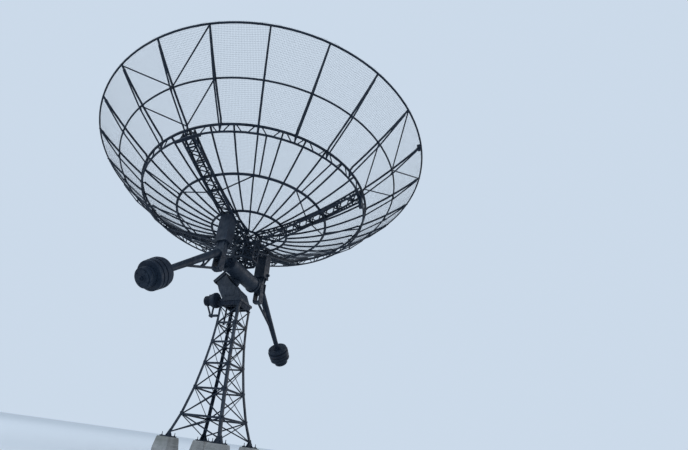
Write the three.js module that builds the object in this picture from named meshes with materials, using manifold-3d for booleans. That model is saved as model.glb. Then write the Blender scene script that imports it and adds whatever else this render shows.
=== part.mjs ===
// A radio telescope dish: a nine metre wire-mesh reflector on an equatorial mount and a lattice tower.
// Millimetres, +Z up. The origin is on the ground, under the tower's axis.
// The polar axis rises towards +X. The declination axis lies along Y.
// The dish is modelled as it is parked, facing straight up.

import * as THREE from 'three';
import { mergeVertices } from 'three/addons/utils/BufferGeometryUtils.js';
import Module from 'manifold-3d';

const wasm = await Module();
wasm.setup();

// Reflector
const DISH_RADIUS = 4500;
const FOCAL_LENGTH = 2600;
const RIM_HEIGHT = 7172;
const VERTEX_HEIGHT = RIM_HEIGHT - DISH_RADIUS ** 2 / (4 * FOCAL_LENGTH);
const SCREEN_DROP = 2;
const SCREEN_SIDES = 24;
const SCREEN_BAY = (2 * Math.PI) / SCREEN_SIDES;
const SCREEN_BAR = 36;
const SCREEN_CROSS_BAR = 24;
const OUTER_SCREEN_START = 3067;
const INNER_SCREEN_BARS = [1010, 2020, 3060];
const OUTER_SCREEN_BARS = [3067, 3770, 4500];
const QUARTER = Math.PI / 2;

// Ribs: more of them inside the ring truss than outside it, and every second inner one reaches the hub
const OUTER_RIB_COUNT = 24;
const OUTER_BAY = (2 * Math.PI) / OUTER_RIB_COUNT;
const INNER_RIB_COUNT = 36;
const INNER_BAY = (2 * Math.PI) / INNER_RIB_COUNT;
const STRUT_EVERY = 3;
const STRUT_SHIFT = THREE.MathUtils.degToRad(3.7);

// Rings of the backing frame, as radii of their corners
const INNER_RING = 1010;
const SECOND_RING = 2020;
const TRUSS_RING = 3060;
const TRUSS_UPPER_RING = 3045;
const TRUSS_LOWER_RING = 3000;
const MIDDLE_RING = 3770;
const RIM_RING = 4470;
const LONG_STATIONS = [300, 600, INNER_RING, 1515, SECOND_RING, 2540, TRUSS_RING];
const SHORT_STATIONS = [1000, INNER_RING, 1515, SECOND_RING, 2540, TRUSS_RING];
const OUTER_STATIONS = [TRUSS_RING, 3415, MIDDLE_RING, 4135, DISH_RADIUS];
const INNER_SIDES = 36;
const MIDDLE_SIDES = 48;
const RIM_SIDES = 72;

// Sections of the backing frame
const RIB_WIDTH = 40;
const RIB_TOP_DROP = 2.4;
const INNER_RIB_DEPTH = 46;
const OUTER_RIB_DEPTH = 60;
const INNER_RING_DROP = 30;
const INNER_RING_WIDTH = 60;
const RING_SECTION = 46;
const MIDDLE_DROP = 92;
const RIM_DROP = 42;
const RIM_SECTION = 50;
const TRUSS_SECTION = 48;
const TRUSS_UPPER_DROP = 96;
const TRUSS_DEPTH = 180;
const POST_RADIUS = 3032;
const POST_SECTION = 40;
const STRUT_SECTION = 36;
const INNER_STRUT_END = 2010;
const INNER_STRUT_DROP = 50;
const KNEE_DROP = 180;
const CHORD_END = 4400;
const CHORD_END_DROP = 68;
const BRACE_SECTION = 30;
const BRACE_DROP = 66;
const BRACE_END = 3120;

// Main beams under the reflector
const BEAM_WIDTH = 360;
const BEAM_CHORD = 44;
const BEAM_LACE = 26;
const BEAM_TOP_DROP = 74;
const BEAM_UPPER_END = 3003;
const BEAM_LOWER_END = 2950;
const BEAM_LOW_START = 4855;
const BEAM_LOW_SLOPE = 0.378;
const BEAM_FRAMES = [INNER_RING, SECOND_RING, 2930];

// Hub drum at the middle of the reflector
const HUB_RADIUS = 330;
const HUB_BOTTOM = 4400;
const HUB_TOP_DROP = 75;
const HUB_SIDES = 8;
const HUB_RING = 44;
const HUB_POST = 34;
const HUB_MIDDLE = 4850;

// Declination axis and polar axis, which cross above the tower
const AXIS_HEIGHT = 4050;
const POLAR_TILT = THREE.MathUtils.degToRad(40.5);
const TUBE_RADIUS = 195;
const TUBE_SIDES = 24;
const TUBE_HALF_LENGTH = 640;
const STUB_RADIUS = 62;
const STUB_SIDES = 24;
const STUB_END = 1060;
const SHAFT_RADIUS = 95;
const SHAFT_SIDES = 16;
const BORE_SIDES = 32;
const SHAFT_END = 430;
const FLANGE_RADIUS = 170;
const FLANGE_SIDES = 20;
const FLANGE_START = 215;
const FLANGE_END = 258;
const CUTTER_SIDES = 8;

// Columns that carry the dish on the ends of the declination axis
const COLUMN_NEAR = 850;
const COLUMN_FAR = 1130;
const COLUMN_HALF_WIDTH = 155;
const COLUMN_FOOT = 4400;
const PRONG_INNER = 66;
const PRONG_THICKNESS = 34;
const PRONG_BOTTOM = 3670;
const PRONG_NEAR = 900;
const PRONG_FAR = 1090;
const PRONG_LAP = 20;
const TIE_INSET = 10;
const TIE_HEIGHT = 50;
const BEARING_HALF_HEIGHT = 120;

// Counterweight arms
const WEIGHT_REACH = 2650;
const WEIGHT_HEIGHT = 2790;
const ARM_ROOT_RADIUS = 95;
const ARM_TIP_RADIUS = 62;
const ARM_SIDES = 12;
const ARM_ROOT_LIFT = 60;
const ARM_STRUT_SECTION = 50;
const ARM_STRUT_MEETS = 0.72;
const ARM_TIE_SECTION = 38;
const ARM_TIE_FOOT = 0.4;
const ARM_TIES_MEET = [0.3, 0.08];
const WEIGHT_RADIUS = 290;
const WEIGHT_SIDES = 20;
const WEIGHT_LENGTH = 330;
const WEIGHT_CAP_RADIUS = 185;
const WEIGHT_CAP_LENGTH = 160;
const WEIGHT_NUB_RADIUS = 70;
const WEIGHT_NUB_TIP = 42;
const WEIGHT_NUB_SIDES = 10;
const WEIGHT_NUB_LENGTH = 70;
const WEIGHT_LAP = 5;

// Tower: each level is a height and the half width between leg centres
const TOWER_LEVELS = [
  { height: 392, half: 584 },
  { height: 790, half: 469 },
  { height: 1310, half: 367 },
  { height: 1820, half: 300 },
  { height: 2290, half: 255 },
  { height: 2730, half: 235 },
  { height: 3140, half: 235 },
];
const LEG_SECTION = 50;
const TOWER_BAR = 34;
const TOWER_BRACE = 22;
const CAP_SIZE = 74;
const FOOT_PLATE = 230;
const FOOT_PLATE_LAP = 1;
const CAP_LAP = 10;
const BRACE_START_LIFT = 40;
const FOOTING_TOP_HEIGHT = 370;
const FOOTING_TOP = 300;
const FOOTING_BOTTOM = 360;

// Head of the tower
const HEAD_BOTTOM = 3160;
const HEAD_HALF = 250;
const HEAD_PLATE_BOTTOM = 3275;
const HEAD_PLATE_TOP = 3300;
const HEAD_PLATE_HALF = 290;
const HEAD_WALL = 60;
const HEAD_LAP = 20;
const HOUSING_HALF_WIDTH = 235;
const HOUSING_FACE = 270;
const HOUSING_FACE_LOW = 170;
const HOUSING_FACE_HIGH = 190;
const HOUSING_ROOF_LENGTH = 290;
const HOUSING_FRONT = { x: 250, kneeX: 130, kneeHeight: 260 };
const HOUSING_BACK = { x: -240, kneeX: -406, kneeHeight: 250 };
const ROOF_THICKNESS = 45;
const ROOF_OVERHANG = 20;
const ROOF_FRONT = 10;
const ROOF_BACK = 70;
const BORE_END_ROOM = 12;
const NECK_RADIUS = 150;

// Drive: distances from the tower's axis to the -X side
const DRIVE_Y = -270;
const DRIVE_HEIGHT = 3270;
const GEAR_RADIUS = 185;
const GEAR_NEAR = 350;
const GEAR_FAR = 500;
const GEAR_SIDES = 12;
const MOTOR_RADIUS = 120;
const MOTOR_FAR = 690;
const MOTOR_SIDES = 10;
const DRIVE_SEAT = { from: -262, to: -140, low: 3165, high: 3265 };
const DRIVE_STRUT = 36;
const DRIVE_SHELF = { end: 490, height: 2915, from: -290, to: -215 };
const DRIVE_STRUTS = [{ foot: 472, head: 620, height: 3160 }, { foot: 440, head: 440, height: 3100 }];

// Clearances
const GAP = 0.3;
const BORE_CLEARANCE = 0.3;

// Corners closer together than this are one corner
const MERGE_DISTANCE = 1e-4;

const UP = new THREE.Vector3(0, 0, 1);
const ALONG_X = new THREE.Vector3(1, 0, 0);

const v = (x, y, z) => new THREE.Vector3(x, y, z);

// Painted steel, darker on the weights, bare wire mesh and concrete
const steel = () => new THREE.MeshStandardMaterial({ color: 0x2b333d, roughness: 0.6, metalness: 0.3 });
const darkSteel = () => new THREE.MeshStandardMaterial({ color: 0x20262e, roughness: 0.65, metalness: 0.3 });
const screen = () => new THREE.MeshStandardMaterial({ color: 0x70767c, roughness: 0.5, metalness: 0.7 });
const concrete = () => new THREE.MeshStandardMaterial({ color: 0x8b8d8b, roughness: 0.9, metalness: 0 });

// A closed geometry as a solid that can be joined and cut
function toSolid(geometry) {
  geometry.deleteAttribute('normal');
  geometry.deleteAttribute('uv');
  const merged = mergeVertices(geometry, MERGE_DISTANCE);
  return new wasm.Manifold(new wasm.Mesh({
    numProp: 3,
    vertProperties: new Float32Array(merged.attributes.position.array),
    triVerts: new Uint32Array(merged.index.array),
  }));
}

function toGeometry(solid) {
  const mesh = solid.getMesh();
  const geometry = new THREE.BufferGeometry();
  geometry.setAttribute('position', new THREE.BufferAttribute(mesh.vertProperties, 3));
  geometry.setIndex(new THREE.BufferAttribute(mesh.triVerts, 1));
  geometry.computeVertexNormals();
  return geometry;
}

const join = (solids) => solids.reduce((whole, solid) => whole.add(solid));
const turned = (solid, angle) => toSolid(toGeometry(solid).rotateZ(angle));

// The biggest connected piece, without the crumbs that a cut can leave
function largest(solid) {
  return solid.decompose().reduce((best, piece) => (piece.volume() > best.volume() ? piece : best));
}

// A box between two corners
function block(low, high) {
  const geometry = new THREE.BoxGeometry(high.x - low.x, high.y - low.y, high.z - low.z);
  geometry.translate((low.x + high.x) / 2, (low.y + high.y) / 2, (low.z + high.z) / 2);
  return toSolid(geometry);
}

// Places a geometry made along one of its own axes so that it runs between two points
function spanning(from, to, up) {
  const along = to.clone().sub(from).normalize();
  const side = new THREE.Vector3().crossVectors(up, along).normalize();
  const top = new THREE.Vector3().crossVectors(along, side);
  const middle = from.clone().add(to).multiplyScalar(0.5);
  return new THREE.Matrix4().makeBasis(side, top, along).setPosition(middle);
}

// A straight bar of rectangular section; up is the direction of its depth
function bar(from, to, width, depth, up) {
  const geometry = new THREE.BoxGeometry(width, depth, from.distanceTo(to));
  return toSolid(geometry.applyMatrix4(spanning(from, to, up)));
}

// A round bar, or a tapered one, with a given number of sides
function rod(from, to, fromRadius, toRadius, sides, up = UP) {
  const geometry = new THREE.CylinderGeometry(toRadius, fromRadius, from.distanceTo(to), sides);
  geometry.rotateX(Math.PI / 2);
  return toSolid(geometry.applyMatrix4(spanning(from, to, up)));
}

// A slim three-sided bar with one flat side towards up; its height is one and a half times its radius
function lath(from, to, size, up) {
  const radius = size / 1.5;
  const geometry = new THREE.CylinderGeometry(radius, radius, from.distanceTo(to), 3);
  geometry.rotateX(Math.PI / 2);
  return toSolid(geometry.applyMatrix4(spanning(from, to, up)));
}

// A plate of even thickness, from an outline in the X-Z plane, centred on a given y
function plateXZ(points, thickness, y = 0) {
  const outline = new THREE.Shape(points.map(([x, z]) => new THREE.Vector2(x, z)));
  const geometry = new THREE.ExtrudeGeometry(outline, { depth: thickness, bevelEnabled: false });
  geometry.translate(0, 0, -thickness / 2 - y);
  geometry.rotateX(Math.PI / 2);
  return toSolid(geometry);
}

// The paraboloid of the reflector
const surfaceHeight = (radius) => VERTEX_HEIGHT + radius ** 2 / (4 * FOCAL_LENGTH);

const polar = (radius, angle, height) => v(radius * Math.cos(angle), radius * Math.sin(angle), height);
const ringPoint = (radius, angle, drop) => polar(radius, angle, surfaceHeight(radius) - drop);

// Height of the ring truss's lower chord
const TRUSS_LOW_HEIGHT = surfaceHeight(TRUSS_RING) - TRUSS_UPPER_DROP - TRUSS_DEPTH;

// A radial rib that follows the reflector from underneath
function rib(stations, angle, depth) {
  const top = stations.map((r) => [r, surfaceHeight(r) - RIB_TOP_DROP]);
  const bottom = stations.map((r) => [r, surfaceHeight(r) - RIB_TOP_DROP - depth]);
  const solid = plateXZ([...bottom, ...top.reverse()], RIB_WIDTH);
  return turned(solid, angle);
}

// A ring of three-sided bar, flat on top, with straight stretches between its nodes
function ring(radius, drop, width, depth, sides, slope = Math.atan(radius / (2 * FOCAL_LENGTH))) {
  const middle = new THREE.Vector2(radius, surfaceHeight(radius) - drop);
  const corner = (across, up) => new THREE.Vector2(across * width, up * depth)
    .rotateAround(new THREE.Vector2(), slope)
    .add(middle);
  const profile = [corner(0, -0.5), corner(0.5, 0.5), corner(-0.5, 0.5), corner(0, -0.5)];
  const geometry = new THREE.LatheGeometry(profile, sides);
  geometry.rotateX(Math.PI / 2);
  return toSolid(geometry);
}

// Keeps what lies in one quarter, and clear of the next quarter's first rib
function inQuarter(solid) {
  const reach = RIB_WIDTH / 2 + GAP;
  return solid.intersect(block(v(reach, 0, 0), v(2 * DISH_RADIUS, 2 * DISH_RADIUS, 2 * RIM_HEIGHT)));
}

// Ribs, two rings and the ring truss of one inner quarter; firstLong is the first rib that reaches the hub
function innerFrame(firstLong) {
  const lowerDrop = surfaceHeight(TRUSS_LOWER_RING) - TRUSS_LOW_HEIGHT;
  const rings = join([
    ring(INNER_RING, INNER_RING_DROP, INNER_RING_WIDTH, RING_SECTION, INNER_SIDES),
    ring(SECOND_RING, INNER_RING_DROP, INNER_RING_WIDTH, RING_SECTION, INNER_SIDES),
    ring(TRUSS_UPPER_RING, TRUSS_UPPER_DROP, TRUSS_SECTION, TRUSS_SECTION, INNER_SIDES, 0),
    ring(TRUSS_LOWER_RING, lowerDrop, TRUSS_SECTION, TRUSS_SECTION, INNER_SIDES, 0),
  ]);
  const solids = [inQuarter(rings)];
  // The struts stand on the side of their ribs that faces away from the beams along Y
  const shift = firstLong === 0 ? -STRUT_SHIFT : STRUT_SHIFT;
  for (let i = 0; i < INNER_RIB_COUNT / 4; i += 1) {
    const angle = i * INNER_BAY;
    const reachesHub = i === 0 || i % 2 === firstLong;
    solids.push(rib(reachesHub ? LONG_STATIONS : SHORT_STATIONS, angle, INNER_RIB_DEPTH));
    if (i > 0 && i % STRUT_EVERY === 0) {
      solids.push(innerStrut(angle + shift));
    }
  }
  for (let bay = 0; bay < OUTER_RIB_COUNT / 4; bay += 1) {
    solids.push(trussPost(bay * OUTER_BAY));
  }
  return join(solids);
}

// A post of the ring truss, from its lower chord up to the ribs
function trussPost(angle) {
  const outward = v(Math.cos(angle), Math.sin(angle), 0);
  const foot = polar(POST_RADIUS, angle, TRUSS_LOW_HEIGHT - TRUSS_SECTION / 4);
  const head = ringPoint(POST_RADIUS, angle, INNER_RIB_DEPTH / 2);
  return bar(foot, head, POST_SECTION, POST_SECTION, outward);
}

// A straight strut beside a rib, from the ring truss's lower chord in to the second ring
function innerStrut(angle) {
  const across = v(-Math.sin(angle), Math.cos(angle), 0);
  const outerEnd = polar(TRUSS_LOWER_RING, angle, TRUSS_LOW_HEIGHT);
  const innerEnd = ringPoint(INNER_STRUT_END, angle, INNER_STRUT_DROP);
  return bar(outerEnd, innerEnd, STRUT_SECTION, STRUT_SECTION, across);
}

// Ribs with their lower chords, middle ring, rim and braces of one outer quarter
function outerFrame() {
  const stations = [TRUSS_RING + GAP, ...OUTER_STATIONS.slice(1)];
  const members = [
    ring(MIDDLE_RING, MIDDLE_DROP, RING_SECTION, RING_SECTION, MIDDLE_SIDES),
    ring(RIM_RING, RIM_DROP, RIM_SECTION, RIM_SECTION, RIM_SIDES),
  ];
  // The braces meet on the rib over each main beam
  for (const [beside, over] of [[OUTER_BAY, 0], [QUARTER - OUTER_BAY, QUARTER]]) {
    const rimBeside = ringPoint(RIM_RING, beside, BRACE_DROP);
    const middleBeside = ringPoint(MIDDLE_RING, beside, MIDDLE_DROP);
    members.push(lath(rimBeside, ringPoint(MIDDLE_RING, over, BRACE_DROP), BRACE_SECTION, UP));
    members.push(lath(middleBeside, ringPoint(BRACE_END, over, BRACE_DROP), BRACE_SECTION, UP));
  }
  const solids = [inQuarter(join(members))];
  for (let bay = 0; bay < OUTER_RIB_COUNT / 4; bay += 1) {
    const angle = bay * OUTER_BAY;
    solids.push(rib(stations, angle, OUTER_RIB_DEPTH));
    solids.push(outerChord(angle));
  }
  return join(solids);
}

// The lower chord of an outer rib: from the ring truss up to a knee under the middle ring, and on to the rim
function outerChord(angle) {
  const outward = v(Math.cos(angle), Math.sin(angle), 0);
  const across = v(-outward.y, outward.x, 0);
  const knee = ringPoint(MIDDLE_RING, angle, KNEE_DROP);
  const node = polar(TRUSS_LOWER_RING, angle, TRUSS_LOW_HEIGHT);
  const along = knee.clone().sub(node).normalize();
  // It starts with its upper edge against the post of the ring truss
  const startRadius = POST_RADIUS + POST_SECTION / 2 + GAP + (STRUT_SECTION / 2) * along.z;
  const start = node.addScaledVector(along, (startRadius - TRUSS_LOWER_RING) / along.dot(outward));
  const end = ringPoint(CHORD_END, angle, CHORD_END_DROP);
  const head = ringPoint(MIDDLE_RING, angle, OUTER_RIB_DEPTH / 2);
  return join([
    bar(start, knee, STRUT_SECTION, STRUT_SECTION, across),
    bar(knee, end, STRUT_SECTION, STRUT_SECTION, across),
    bar(knee, head, STRUT_SECTION, STRUT_SECTION, across),
  ]);
}

// A quarter of the mesh screen: a thin shell of flat facets, with openings between its radial and cross bars
function screenQuarter(stations, crossBars) {
  const top = stations.map((r) => new THREE.Vector2(r, surfaceHeight(r)));
  const bottom = stations.map((r) => new THREE.Vector2(r, surfaceHeight(r) - SCREEN_DROP));
  const profile = [...bottom, ...top.reverse()];
  if (stations[0] > 0) {
    profile.push(bottom[0].clone());
  }
  const geometry = new THREE.LatheGeometry(profile, SCREEN_SIDES);
  geometry.rotateX(Math.PI / 2);
  const half = GAP / 2;
  const quarter = block(v(half, half, 0), v(2 * DISH_RADIUS, 2 * DISH_RADIUS, 2 * RIM_HEIGHT));
  const shell = toSolid(geometry).intersect(quarter);
  const openings = [];
  for (let facet = 0; facet < SCREEN_SIDES / 4; facet += 1) {
    for (let i = 1; i < crossBars.length; i += 1) {
      openings.push(screenOpening(crossBars[i - 1], crossBars[i], facet));
    }
  }
  return shell.subtract(join(openings));
}

// What is cut out of one facet between two cross bars, leaving half a bar along each edge
function screenOpening(near, far, facet) {
  const shrink = Math.cos(SCREEN_BAY / 2);
  const x0 = near * shrink + SCREEN_CROSS_BAR / 2;
  const x1 = far * shrink - SCREEN_CROSS_BAR / 2;
  const halfWidth = (x) => x * Math.tan(SCREEN_BAY / 2) - SCREEN_BAR / 2 / shrink;
  const outline = new THREE.Shape([
    new THREE.Vector2(x0, -halfWidth(x0)),
    new THREE.Vector2(x1, -halfWidth(x1)),
    new THREE.Vector2(x1, halfWidth(x1)),
    new THREE.Vector2(x0, halfWidth(x0)),
  ]);
  const geometry = new THREE.ExtrudeGeometry(outline, { depth: 2 * RIM_HEIGHT, bevelEnabled: false });
  geometry.rotateZ((facet + 0.5) * SCREEN_BAY);
  return toSolid(geometry);
}

// Height of a main beam's lower chords at a distance from the middle
const beamLowHeight = (x) => BEAM_LOW_START + (x - HUB_RADIUS) * BEAM_LOW_SLOPE;

// A main beam along +X: two upper chords that follow the ribs, two lower chords and their lacing
function mainBeam() {
  const half = (BEAM_WIDTH - BEAM_CHORD) / 2;
  const start = (HUB_RADIUS + HUB_RING / 2) * Math.cos(Math.PI / HUB_SIDES) + GAP;
  const frames = [start + BEAM_LACE / Math.sqrt(3), ...BEAM_FRAMES];
  const upper = (x, side) => v(x, side * half, surfaceHeight(x) - BEAM_TOP_DROP);
  const lower = (x, side) => v(x, side * half, beamLowHeight(x));
  const halfChord = BEAM_CHORD / 2;
  const tops = [start, ...LONG_STATIONS.slice(1, -1), BEAM_UPPER_END];
  const upperOutline = [
    ...tops.map((x) => [x, surfaceHeight(x) - BEAM_TOP_DROP - halfChord]),
    ...tops.map((x) => [x, surfaceHeight(x) - BEAM_TOP_DROP + halfChord]).reverse(),
  ];
  const lowerOutline = [
    [start, beamLowHeight(start) - halfChord],
    [BEAM_LOWER_END, beamLowHeight(BEAM_LOWER_END) - halfChord],
    [BEAM_LOWER_END, beamLowHeight(BEAM_LOWER_END) + halfChord],
    [start, beamLowHeight(start) + halfChord],
  ];
  const solids = [];
  for (const side of [-1, 1]) {
    for (const outline of [upperOutline, lowerOutline]) {
      solids.push(plateXZ(outline, BEAM_CHORD, side * half));
    }
    for (let i = 1; i < frames.length; i += 1) {
      const from = i % 2 === 0 ? lower(frames[i], side) : lower(frames[i - 1], side);
      const to = i % 2 === 0 ? upper(frames[i - 1], side) : upper(frames[i], side);
      solids.push(lath(from, to, BEAM_LACE, UP));
    }
  }
  for (const x of frames) {
    solids.push(lath(upper(x, -1), upper(x, 1), BEAM_LACE, UP));
    solids.push(lath(lower(x, -1), lower(x, 1), BEAM_LACE, UP));
    solids.push(lath(lower(x, -1), upper(x, -1), BEAM_LACE, ALONG_X));
    solids.push(lath(lower(x, 1), upper(x, 1), BEAM_LACE, ALONG_X));
  }
  return join(solids);
}

// The lattice drum under the middle of the reflector
function hubDrum() {
  const step = (2 * Math.PI) / HUB_SIDES;
  const topHeight = surfaceHeight(HUB_RADIUS) - HUB_TOP_DROP;
  const corner = (i, height) => polar(HUB_RADIUS, (i + 0.5) * step, height);
  const solids = [HUB_BOTTOM, HUB_MIDDLE, topHeight].map(hubRing);
  for (let i = 0; i < HUB_SIDES; i += 1) {
    const outward = v(Math.cos((i + 0.5) * step), Math.sin((i + 0.5) * step), 0);
    solids.push(lath(corner(i, HUB_BOTTOM), corner(i, topHeight), HUB_POST, outward));
  }
  return join(solids);
}

// One ring of the hub drum, with its flats facing the main beams
function hubRing(height) {
  const half = HUB_RING / 2;
  const inside = HUB_RADIUS - half;
  const outside = HUB_RADIUS + half;
  const profile = [
    new THREE.Vector2(inside, height - half),
    new THREE.Vector2(outside, height - half),
    new THREE.Vector2(outside, height + half),
    new THREE.Vector2(inside, height + half),
    new THREE.Vector2(inside, height - half),
  ];
  const geometry = new THREE.LatheGeometry(profile, HUB_SIDES, Math.PI / HUB_SIDES);
  geometry.rotateX(Math.PI / 2);
  return toSolid(geometry);
}

// A column on the +Y side, from the beam down to the end of the declination axis
function column() {
  const half = COLUMN_HALF_WIDTH;
  const underBeam = (y) => beamLowHeight(y) - BEAM_CHORD / 2 - 2 * GAP;
  const bearingTop = AXIS_HEIGHT - BEARING_HALF_HEIGHT;
  const box = plateXZ([
    [COLUMN_NEAR, COLUMN_FOOT],
    [COLUMN_FAR, COLUMN_FOOT],
    [COLUMN_FAR, underBeam(COLUMN_FAR)],
    [COLUMN_NEAR, underBeam(COLUMN_NEAR)],
  ], 2 * half);
  const prongMiddle = PRONG_INNER + PRONG_THICKNESS / 2;
  const prongOutline = [
    [PRONG_NEAR, PRONG_BOTTOM],
    [PRONG_FAR, PRONG_BOTTOM],
    [PRONG_FAR, COLUMN_FOOT + PRONG_LAP],
    [PRONG_NEAR, COLUMN_FOOT + PRONG_LAP],
  ];
  // A tie between the prongs, from one height to another
  const tie = (low, high) => block(
    v(PRONG_NEAR + TIE_INSET, -prongMiddle, low),
    v(PRONG_FAR - TIE_INSET, prongMiddle, high),
  );
  const solids = [
    box,
    plateXZ(prongOutline, PRONG_THICKNESS, -prongMiddle),
    plateXZ(prongOutline, PRONG_THICKNESS, prongMiddle),
    tie(PRONG_BOTTOM + TIE_INSET, PRONG_BOTTOM + TIE_INSET + TIE_HEIGHT),
    tie(bearingTop, COLUMN_FOOT + TIE_INSET),
  ];
  const radius = (STUB_RADIUS + BORE_CLEARANCE) / Math.cos(Math.PI / STUB_SIDES);
  const bore = rod(v(0, 0, AXIS_HEIGHT), v(2 * COLUMN_FAR, 0, AXIS_HEIGHT), radius, radius, STUB_SIDES);
  return turned(join(solids).subtract(bore), QUARTER);
}

// A counterweight arm on the +Y side, from the column down and outwards to the weight
function armGeometry() {
  const root = v(0, PRONG_FAR - PRONG_LAP, AXIS_HEIGHT + ARM_ROOT_LIFT);
  const weight = v(0, WEIGHT_REACH, WEIGHT_HEIGHT);
  const along = weight.clone().sub(root).normalize();
  const tip = weight.clone().addScaledVector(along, -WEIGHT_LENGTH / 2 - GAP);
  return { root, weight, along, tip };
}

function counterweightArm() {
  const { root, along, tip } = armGeometry();
  const length = root.distanceTo(tip);
  const on = (share) => root.clone().addScaledVector(along, length * share);
  const meeting = on(ARM_STRUT_MEETS);
  const lowRoot = v(0, root.y, PRONG_BOTTOM + ARM_STRUT_SECTION / 2);
  const tieFoot = lowRoot.clone().lerp(meeting, ARM_TIE_FOOT);
  const solids = [
    rod(root, tip, ARM_ROOT_RADIUS, ARM_TIP_RADIUS, ARM_SIDES),
    bar(lowRoot, meeting, ARM_STRUT_SECTION, ARM_STRUT_SECTION, UP),
    ...ARM_TIES_MEET.map((share) => bar(tieFoot, on(share), ARM_TIE_SECTION, ARM_TIE_SECTION, UP)),
  ];
  const columnSide = block(v(-COLUMN_FAR, 0, 0), v(COLUMN_FAR, PRONG_FAR + GAP, RIM_HEIGHT));
  return largest(join(solids).subtract(columnSide));
}

function counterweight() {
  const { weight, along } = armGeometry();
  const at = (distance) => weight.clone().addScaledVector(along, distance);
  const half = WEIGHT_LENGTH / 2;
  const capEnd = half + WEIGHT_CAP_LENGTH;
  const nubEnd = capEnd + WEIGHT_NUB_LENGTH;
  return join([
    rod(at(-half), at(half), WEIGHT_RADIUS, WEIGHT_RADIUS, WEIGHT_SIDES),
    rod(at(half - WEIGHT_LAP), at(capEnd), WEIGHT_CAP_RADIUS, WEIGHT_CAP_RADIUS, WEIGHT_SIDES),
    rod(at(capEnd - WEIGHT_LAP), at(nubEnd), WEIGHT_NUB_RADIUS, WEIGHT_NUB_TIP, WEIGHT_NUB_SIDES),
  ]);
}

// The tube on the declination axis with its bearing stubs
function declinationTube() {
  const end = (y) => v(0, y, AXIS_HEIGHT);
  return join([
    rod(end(-TUBE_HALF_LENGTH), end(TUBE_HALF_LENGTH), TUBE_RADIUS, TUBE_RADIUS, TUBE_SIDES),
    rod(end(-STUB_END), end(STUB_END), STUB_RADIUS, STUB_RADIUS, STUB_SIDES),
  ]);
}

// A point on the polar axis, and the direction across it in the X-Z plane
const polarDirection = v(Math.cos(POLAR_TILT), 0, Math.sin(POLAR_TILT));
const polarPoint = (distance) => v(0, 0, AXIS_HEIGHT).addScaledVector(polarDirection, distance);
const acrossPolar = v(-Math.sin(POLAR_TILT), 0, Math.cos(POLAR_TILT));

// The polar shaft with its flange, welded up to the tube
function polarShaft() {
  // A length of the shaft from one distance below the declination axis to another
  const length = (near, far, radius, sides) => rod(polarPoint(-near), polarPoint(-far), radius, radius, sides);
  const neck = length(0, FLANGE_START, NECK_RADIUS, SHAFT_SIDES);
  const flange = length(FLANGE_START, FLANGE_END, FLANGE_RADIUS, FLANGE_SIDES);
  const shaft = length(0, SHAFT_END, SHAFT_RADIUS, SHAFT_SIDES);
  const radius = TUBE_RADIUS + GAP;
  const from = v(0, -TUBE_HALF_LENGTH, AXIS_HEIGHT);
  const to = v(0, TUBE_HALF_LENGTH, AXIS_HEIGHT);
  const tubeSpace = rod(from, to, radius, radius, TUBE_SIDES);
  const beyond = length(0, -2 * TUBE_RADIUS, 2 * TUBE_RADIUS, CUTTER_SIDES);
  return largest(join([neck, flange, shaft]).subtract(tubeSpace).subtract(beyond));
}

// Corners of the polar housing's face and roof in the X-Z plane
function housingFace() {
  const middle = polarPoint(-HOUSING_FACE);
  const low = middle.clone().addScaledVector(acrossPolar, -HOUSING_FACE_LOW);
  const high = middle.clone().addScaledVector(acrossPolar, HOUSING_FACE_HIGH);
  const roofBack = high.clone().addScaledVector(polarDirection, -HOUSING_ROOF_LENGTH);
  return { low, high, roofBack };
}

// The closed wedge-shaped housing that holds the polar bearing
function polarHousing() {
  const { low, high, roofBack } = housingFace();
  const base = HEAD_PLATE_TOP + GAP;
  const body = plateXZ([
    [HOUSING_BACK.x, base],
    [HOUSING_FRONT.x, base],
    [HOUSING_FRONT.kneeX, base + HOUSING_FRONT.kneeHeight],
    [low.x, low.z],
    [high.x, high.z],
    [roofBack.x, roofBack.z],
    [HOUSING_BACK.kneeX, base + HOUSING_BACK.kneeHeight],
  ], 2 * HOUSING_HALF_WIDTH);
  const boreRadius = (SHAFT_RADIUS + BORE_CLEARANCE) / Math.cos(Math.PI / BORE_SIDES);
  const boreEnd = polarPoint(-SHAFT_END - BORE_END_ROOM);
  return body.subtract(rod(polarPoint(0), boreEnd, boreRadius, boreRadius, BORE_SIDES));
}

// The overhanging roof plate of the housing
function housingRoof() {
  const { high, roofBack } = housingFace();
  const lift = acrossPolar.clone().multiplyScalar(GAP);
  const front = high.clone().add(lift).addScaledVector(polarDirection, ROOF_FRONT);
  const back = roofBack.clone().add(lift).addScaledVector(polarDirection, -ROOF_BACK);
  const thick = acrossPolar.clone().multiplyScalar(ROOF_THICKNESS);
  const corners = [back, front, front.clone().add(thick), back.clone().add(thick)];
  return plateXZ(corners.map((p) => [p.x, p.z]), 2 * (HOUSING_HALF_WIDTH + ROOF_OVERHANG));
}

// Head of the tower: a plate on a frame of bars over the legs
function headFrame() {
  const reach = HEAD_HALF + HEAD_LAP;
  const low = v(-reach, -reach, HEAD_BOTTOM);
  const high = v(reach, reach, HEAD_PLATE_BOTTOM - GAP);
  const inside = block(
    v(low.x + HEAD_WALL, low.y + HEAD_WALL, HEAD_BOTTOM - HEAD_WALL),
    v(high.x - HEAD_WALL, high.y - HEAD_WALL, HEAD_PLATE_BOTTOM - HEAD_WALL / 2),
  );
  return block(low, high).subtract(inside);
}

function headPlate() {
  return block(
    v(-HEAD_PLATE_HALF, -HEAD_PLATE_HALF, HEAD_PLATE_BOTTOM),
    v(HEAD_PLATE_HALF, HEAD_PLATE_HALF, HEAD_PLATE_TOP),
  );
}

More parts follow.
